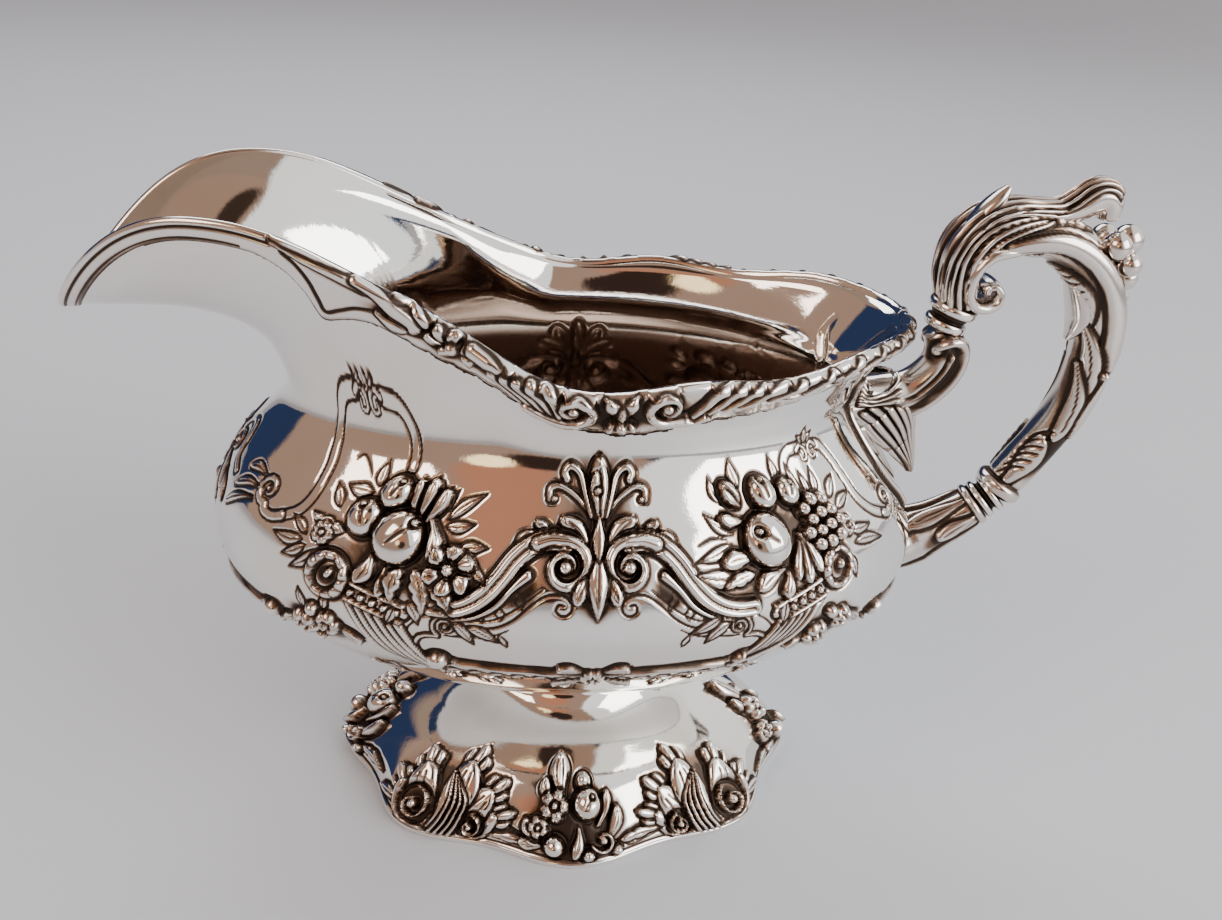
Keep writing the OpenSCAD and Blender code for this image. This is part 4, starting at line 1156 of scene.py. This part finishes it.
def draw_lower_stem(r, long, girth):
    r.shade((0.4 * long, 0.55 * girth), (6, 3), 0.8)
    r.petal((long - 1, 0.18 * girth), (-1, 0.2 * girth), 5.4, 1.0, 0.3, 1, line=0.5)
    r.petal((long - 1, 0.82 * girth), (-1, 0.84 * girth), 5.4, 1.0, -0.3, 1, line=0.5)
    r.petal((long - 1.5, 0.5 * girth), (0.25 * long, 0.5 * girth), 5, 1.3, 0.2, 1, line=0.5)
    r.ribbon([(long - 1.2, 0), (long - 1.2, 0.5 * girth), (long - 1.2, girth)], 1.8, 0.9)


def draw_plume(r, long, girth):
    for k in range(3):
        t = 1.4 + girth * 0.4 * k / 2
        fold = [(-1, t + 0.5), (0.3 * long, t + 0.2), (0.6 * long, 0.8 * t), (long - 4, 0.6 * t)]
        r.ribbon(fold, 1.9, 0.6, (1.1, 0.6), line=0.38, cut=0.4)
    for u, size in [(0.34 * long, 3.6), (0.5 * long, 3.4), (0.66 * long, 3)]:
        r.line([(u, 0.5 * girth), (u + size, 0.34 * girth), (u + 2 * size, 0.3 * girth)], 0.4, 0.4, 1.0)


def draw_small_leaf(r, long, girth):
    r.line([(0, 0.3), (0.5 * long, 0.2), (0.9 * long, 0.1)], 0.3, 0.25, 0.8)
    for k in range(5):
        u = long * (0.15 + 0.15 * k)
        r.line([(u, 0.2), (u + 1.4, 0.25 * girth), (u + 2.4, 0.45 * girth)], 0.25, 0.25, 0.8)


def leaned(angle):
    """The turn from +Z towards +X of points that it is multiplied onto."""
    c, s = math.cos(angle), math.sin(angle)
    return np.array([[c, 0, -s], [0, 1, 0], [s, 0, c]])


def ringed_collar(name, base, lean, radius, height, material, node, low=1.0):
    """Two rounded rings with a cove between them, turned on the handle's own line. low is the
    first ring's share of the radius."""
    ring = 0.4 * height
    first = low * radius
    profile = [(first - 0.9, 0), (first - 0.25, 0.16 * ring), (first, 0.5 * ring),
               (first - 0.25, 0.84 * ring), (first - 1.0, ring), (radius - 1.4, 0.5 * height),
               (radius - 1.15, height - ring), (radius - 0.25, height - 0.84 * ring),
               (radius, height - 0.5 * ring), (radius - 0.25, height - 0.16 * ring), (radius - 0.9, height)]
    smooth = along(profile, np.linspace(0, len(profile) - 1, 61))
    turns = np.linspace(0, 2 * math.pi, 97)[:-1]
    rings = np.stack([smooth[:, :1] * np.cos(turns), smooth[:, :1] * np.sin(turns),
                      np.broadcast_to(smooth[:, 1:], (len(smooth), len(turns)))], -1)
    rings = rings @ leaned(lean) + (base[0], 0, base[1])
    up = smooth[:, 1] / height
    groove = np.exp(-((up - 0.5) / 0.16) ** 4) + np.exp(-(up / 0.07) ** 2) + np.exp(-((1 - up) / 0.07) ** 2)
    darkness = np.repeat(np.clip(groove, 0, 1), len(turns))
    capped(name, rings, darkness, material, node)


def draw_fan(r, long):
    """Festoons that hang under the stem, and long folds that run on down to the tip."""
    for side in (1, -1):
        r.stand(side=side)
        for k in range(7):
            fold = [(1.4 + 2.8 * k, 0.4 * long), (1.4 + 2.7 * k, 0.7 * long), (1.4 + 2.6 * k, long)]
            r.ribbon(fold, 2.8, 1.0, (0.9, 1.0), line=0.42, cut=0.4)
        for k in range(7, -1, -1):
            fold = [(-0.4, 1.6 + 2.2 * k), (4, 2.2 + 2.1 * k), (9 + 0.2 * k, 1.2 + 1.9 * k),
                    (14 + 0.5 * k, 1.2 * k - 1)]
            r.ribbon(fold, 2.2, 0.9, (1.1, 0.8), line=0.42, cut=0.4)
    r.stand()
    r.patina()


def build_fan_leaf(material):
    """The acanthus on the bowl's back that the handle springs from; its tip stands free."""
    top, bottom, edge_share = 7.9, 5.2, 0.16
    half_wide, long = 20.0, 30.0
    # Rows of half angle, lift of the leaf's back and lift of its front.
    fan_rows = [(13, -0.1, 2), (18, -0.1, 5), (19, -0.1, 8), (17, -0.1, 10), (14, -0.1, 10.6), (11, 0.2, 9.6),
                (8, 0.9, 7.6), (5, 1.6, 5.4), (2, 2.2, 3.2)]
    s = np.linspace(0, 1, 150)[:, None]
    f = np.linspace(-1, 1, 161)[None]
    rows = along(fan_rows, s[:, 0] * (len(fan_rows) - 1))
    half_angle, back_lift, front_lift = np.moveaxis(rows, -1, 0)[..., None]
    lobes = 1 - 0.12 * (1 - np.abs(np.sin(math.pi * 4 * s)) ** 0.5)
    base = bowl_point(top + (bottom - top) * s + 0 * f, np.radians(half_angle) * lobes * f)
    normals = grid_normals(base)
    normals *= np.sign(normals[..., :1])
    crown = np.maximum(np.cos(0.5 * math.pi * f), 0) ** 1.2
    lift = back_lift + (front_lift - back_lift) * (edge_share + (1 - edge_share) * crown)
    relief = Relief(half_wide * f[0], long * s[:, 0])
    draw_fan(relief, long)
    front = base + lift[..., None] * normals
    facing = grid_normals(front)
    facing *= np.sign((facing * normals).sum(-1, keepdims=True))
    front = front + (relief.h * ease((1 - np.abs(f)) / 0.08))[..., None] * facing
    back = base + (back_lift + 0 * f)[..., None] * normals
    # Front and back of the leaf are tinted at least by the handle's painted brown reflection.
    dark = np.maximum(np.concatenate([relief.oxide_and_painted_light, 0 * relief.oxide_and_painted_light], axis=1), HANDLE_PAINTED_REFLECTION)
    capped("handle_fan", np.concatenate([front, back[:, ::-1]], axis=1), dark, material,
           "handle_fan_leaf")


def build_fruit_drop(material):
    """A cluster of berries, each pressed in a little where its stalk was."""
    turns = np.linspace(0, 2 * math.pi, 41)[:-1]
    tilt = np.linspace(0.06, math.pi - 0.06, 22)
    dent = 1 - 0.16 * np.exp(-(tilt / 0.35) ** 2)
    girth, rise = np.sin(tilt) * dent, np.cos(tilt) * dent
    ring = np.stack([np.outer(girth, np.cos(turns)), np.outer(girth, np.sin(turns)),
                     np.outer(rise, np.ones(len(turns)))], -1)
    ball = np.vstack([ring.reshape(-1, 3), [[0, 0, dent[0] * 0.98], [0, 0, -1]]]) @ leaned(0.9)
    # Each berry is dark where its stalk was and tinted elsewhere by the handle's painted brown reflection.
    darkness = np.repeat(np.maximum(np.exp(-(tilt / 0.2) ** 2), HANDLE_PAINTED_REFLECTION), len(turns))
    four, three = capped_faces(len(tilt), len(turns))
    starts = len(ball) * np.arange(len(FRUITS))[:, None, None]
    make_mesh("handle_fruit", np.vstack([ball * radius + (x, y, z) for x, y, z, radius in FRUITS]),
              (starts + four).reshape(-1, 4), (starts + three).reshape(-1, 3), material,
              np.tile(np.r_[darkness, 1, HANDLE_PAINTED_REFLECTION], len(FRUITS)), "handle_fruit_drop")


def build_handle(cast, wire):
    # A footprint is a level of the bowl, half its height in levels, half its angle and its lift.
    tube("handle_stem_upper", UPPER_STEM, draw_upper_stem, cast, "handle_upper_stem",
         footprint=(7, 0.6, 10, 2))
    tube("handle_loop_body", LOOP, draw_loop, cast, "handle_loop")
    tube("handle_stem_lower", LOWER_STEM, draw_lower_stem, cast, "handle_lower_stem",
         footprint=(4.2, 0.8, 17, -0.3))
    tube("handle_cap", CAP, draw_plume, cast, "handle_acanthus_cap", 0.3)
    tube("handle_back_tip", BACK_LEAF, None, cast, "handle_back_leaf", 0.25)
    tube("handle_inner_tip", INNER_LEAF, draw_small_leaf, cast, "handle_inner_leaf", 0.25)
    tube("handle_scroll", VOLUTE, None, cast, "handle_volute", 0.3, 2.6)
    build_fan_leaf(cast)
    build_fruit_drop(cast)
    ringed_collar("handle_rings_upper", UPPER_COLLAR, UPPER_LEAN, UPPER_RADIUS, UPPER_HEIGHT, wire,
                  "handle_upper_collar", low=0.86)
    ringed_collar("handle_rings_lower", LOWER_COLLAR, LOWER_LEAN, LOWER_RADIUS, LOWER_HEIGHT, wire,
                  "handle_lower_collar")


# ---- materials -------------------------------------------------------------------------------------

# Colours of thin and of thick oxide, which also paint shade and reflections on parts of the silver.
THIN_OXIDE_AND_PAINTED_REFLECTION = (0.36, 0.23, 0.16, 1)
THICK_OXIDE_AND_PAINTED_SHADE = (0.045, 0.032, 0.025, 1)


class Nodes:
    """The nodes of a material or a world, made and linked call by call."""

    def __init__(self, owner):
        owner.use_nodes = True
        self.tree = owner.node_tree
        self.tree.nodes.clear()

    def node(self, kind, **values):
        made = self.tree.nodes.new(kind)
        for key, value in values.items():
            if key in made.inputs:
                made.inputs[key].default_value = value
            else:
                setattr(made, key, value)
        return made

    def link(self, source, target):
        self.tree.links.new(source, target)

    def ramp(self, source, low, high, start=0.0, end=1.0, kind="LINEAR"):
        """A value that goes from start to end as the source goes from low to high."""
        made = self.node("ShaderNodeMapRange", interpolation_type=kind)
        for k, value in enumerate((low, high, start, end), 1):
            made.inputs[k].default_value = value
        self.link(source, made.inputs[0])
        return made.outputs[0]

    def blend(self, share, first, second):
        """A colour that goes from first to second; either may be another node's output."""
        made = self.node("ShaderNodeMix", data_type="RGBA")
        self.link(share, made.inputs[0])
        for k, value in ((6, first), (7, second)):
            if isinstance(value, tuple):
                made.inputs[k].default_value = value
            else:
                self.link(value, made.inputs[k])
        return made.outputs[2]


def silver(name, colour, shine, wear):
    """Polished silver with faint tarnish clouds and fine polishing marks. The oxide in its
    recesses is brown where it is thin and nearly black where it is thick. The same colours paint
    the shade inside the bowl and under the border's edge, and the reflections on the handle."""
    material = bpy.data.materials.new(name)
    tree = Nodes(material)
    metal = tree.node("ShaderNodeBsdfPrincipled", Metallic=1.0)
    tree.link(metal.outputs[0], tree.node("ShaderNodeOutputMaterial").inputs[0])
    place = tree.node("ShaderNodeTexCoord")
    oxide_and_painted_light = tree.node("ShaderNodeAttribute", attribute_name="oxide_and_painted_light")
    clouds = tree.node("ShaderNodeTexNoise", Scale=38.0, Detail=4.0, Roughness=0.55)
    grain = tree.node("ShaderNodeTexNoise", Scale=900.0, Detail=3.0, Roughness=0.6)
    for noise in (clouds, grain):
        tree.link(place.outputs["Object"], noise.inputs["Vector"])

    depth = tree.node("ShaderNodeMath", operation="MULTIPLY", use_clamp=True)
    tree.link(oxide_and_painted_light.outputs["Fac"], depth.inputs[0])
    tree.link(tree.ramp(grain.outputs[0], 0.2, 0.8, 0.85, 1.1), depth.inputs[1])
    depth = depth.outputs[0]
    yellowed = (colour[0] * 0.93, colour[1] * 0.9, colour[2] * 0.84, 1)
    tone = tree.blend(tree.ramp(clouds.outputs[0], 0.4, 0.75), (*colour, 1), yellowed)
    thin = tree.blend(tree.ramp(depth, 0.03, 0.55), tone, THIN_OXIDE_AND_PAINTED_REFLECTION)
    tree.link(tree.blend(tree.ramp(depth, 0.3, 0.8), thin, THICK_OXIDE_AND_PAINTED_SHADE), metal.inputs["Base Color"])

    rough = tree.node("ShaderNodeMath", operation="MULTIPLY_ADD")
    tree.link(depth, rough.inputs[0])
    rough.inputs[1].default_value = 0.4
    tree.link(tree.ramp(clouds.outputs[0], 0.3, 0.8, shine, shine + wear), rough.inputs[2])
    tree.link(rough.outputs[0], metal.inputs["Roughness"])

    marks = tree.node("ShaderNodeBump", Strength=0.05, Distance=0.0002)
    tree.link(grain.outputs[0], marks.inputs["Height"])
    tree.link(marks.outputs[0], metal.inputs["Normal"])
    return material


# ---- the room, the lights and the camera -------------------------------------------------------------

FLOOR_HALF_SIZE = 20.0                      # metres
CAMERA_PLACE = (-18.64, -208.81, 192.26)    # millimetres
CAMERA_TURN = (6.7, 28.89, -4.2)            # yaw, pitch and roll in degrees
DEEP_BLUE = (0.025, 0.04, 0.1, 1)           # where no part of the room stands

# Parts of the room: a direction, the cosines where each starts and is full, and its colour.
ROOM_WALLS = [
    ("upper_room", (0, 0, 1), 0.5, 0.6, (0.36, 0.25, 0.19)),
    ("warm_wall", (-0.6165, -0.709, 0.342), 0.46, 0.52, (0.42, 0.27, 0.2)),
    ("white_wall", (0.93, -0.131, 0.342), 0.46, 0.5, (1.3, 1.3, 1.32)),
    ("copper_glow", (-0.253, -0.828, 0.5), 0.961, 0.988, (0.56, 0.24, 0.14)),
    ("dark_figure", (-0.12, -0.97, 0.2), 0.98, 0.99, (0.04, 0.022, 0.018)),
    ("dark_shelf", (-0.08, -0.54, 0.84), 0.978, 0.99, (0.05, 0.03, 0.022)),
    ("lamp_glow", (-0.341, -0.888, 0.309), 0.9925, 0.9972, (2.4, 1.8, 1.0)),
]


def build_room():
    """A pale matte floor in a room of soft colours that only the silver reflects."""
    floor_mesh = bpy.data.meshes.new("floor")
    corners = [(FLOOR_HALF_SIZE * x, FLOOR_HALF_SIZE * y, 0) for x, y in ((-1, -1), (1, -1), (1, 1), (-1, 1))]
    floor_mesh.from_pydata(corners, [], [(0, 1, 2, 3)])
    floor = bpy.data.objects.new("floor", floor_mesh)
    bpy.context.scene.collection.objects.link(floor)
    paint = bpy.data.materials.new("pale_floor")
    tree = Nodes(paint)
    shader = tree.node("ShaderNodeBsdfPrincipled", Roughness=0.6)
    tree.link(shader.outputs[0], tree.node("ShaderNodeOutputMaterial").inputs[0])
    noise = tree.node("ShaderNodeTexNoise", Scale=3.0)
    tone = tree.blend(noise.outputs[0], (0.56, 0.59, 0.64, 1), (0.6, 0.63, 0.67, 1))
    tree.link(tone, shader.inputs["Base Color"])
    floor_mesh.materials.append(paint)

    world = bpy.data.worlds.new("room")
    bpy.context.scene.world = world
    tree = Nodes(world)
    sky = tree.node("ShaderNodeBackground", Strength=1.0)
    tree.link(sky.outputs[0], tree.node("ShaderNodeOutputWorld").inputs[0])
    place = tree.node("ShaderNodeTexCoord")
    colour = DEEP_BLUE
    for name, way, low, high, tint in ROOM_WALLS:
        towards = tree.node("ShaderNodeVectorMath", operation="DOT_PRODUCT", name=name)
        towards.inputs[1].default_value = np.array(way) / np.linalg.norm(way)
        tree.link(place.outputs["Generated"], towards.inputs[0])
        share = tree.ramp(towards.outputs["Value"], low, high, kind="SMOOTHSTEP")
        colour = tree.blend(share, colour, (*tint, 1))
    tree.link(colour, sky.inputs["Color"])


def standing(side, up, way, place):
    """The matrix of a lamp or a camera that looks along way from a place."""
    return Matrix([[side[i], up[i], -way[i], place[i]] for i in range(3)] + [[0, 0, 0, 1]])


def area_light(name, place, aim, width, height, power, colour):
    light = bpy.data.lights.new(name, "AREA")
    light.shape = "RECTANGLE"
    light.size = width
    light.size_y = height
    light.energy = power
    light.color = colour
    lamp = bpy.data.objects.new(name, light)
    bpy.context.scene.collection.objects.link(lamp)
    way = np.subtract(aim, place)
    way = way / np.linalg.norm(way)
    side = np.cross(way, (0, 0, 1))
    side /= np.linalg.norm(side)
    lamp.matrix_world = standing(side, np.cross(side, way), way, place)


def build_camera():
    yaw, pitch, roll = (math.radians(angle) for angle in CAMERA_TURN)
    way = np.array([math.sin(yaw) * math.cos(pitch), math.cos(yaw) * math.cos(pitch), -math.sin(pitch)])
    side = np.array([math.cos(yaw), -math.sin(yaw), 0])
    down = np.cross(way, side)
    right = side * math.cos(roll) + down * math.sin(roll)
    up = side * math.sin(roll) - down * math.cos(roll)
    data = bpy.data.cameras.new("camera")
    data.lens = 33.3
    data.sensor_width = 36
    data.clip_start = 0.01
    camera = bpy.data.objects.new("camera", data)
    bpy.context.scene.collection.objects.link(camera)
    camera.matrix_world = standing(right, up, way, np.array(CAMERA_PLACE) * MM)
    bpy.context.scene.camera = camera


SHEET = silver("silver_sheet", (0.9, 0.88, 0.85), 0.035, 0.05)
CAST = silver("silver_cast", (0.86, 0.82, 0.78), 0.07, 0.06)
WIRE = silver("silver_wire", (0.9, 0.88, 0.86), 0.05, 0.05)
build_bowl(SHEET)
build_border(CAST)
build_foot(SHEET)
build_foot_trim(WIRE)
build_handle(CAST, WIRE)
build_room()
area_light("softbox_right", (0.75, -0.55, 0.55), (0, 0, 0.08), 0.7, 0.7, 9, (1.0, 0.99, 0.97))
area_light("softbox_left", (-0.6, -0.45, 0.7), (0, 0, 0.08), 0.45, 0.45, 3, (1.0, 0.84, 0.72))
area_light("softbox_back", (-0.1, 0.7, 0.8), (0, 0, 0.1), 0.9, 0.4, 5, (0.95, 0.97, 1.0))
build_camera()
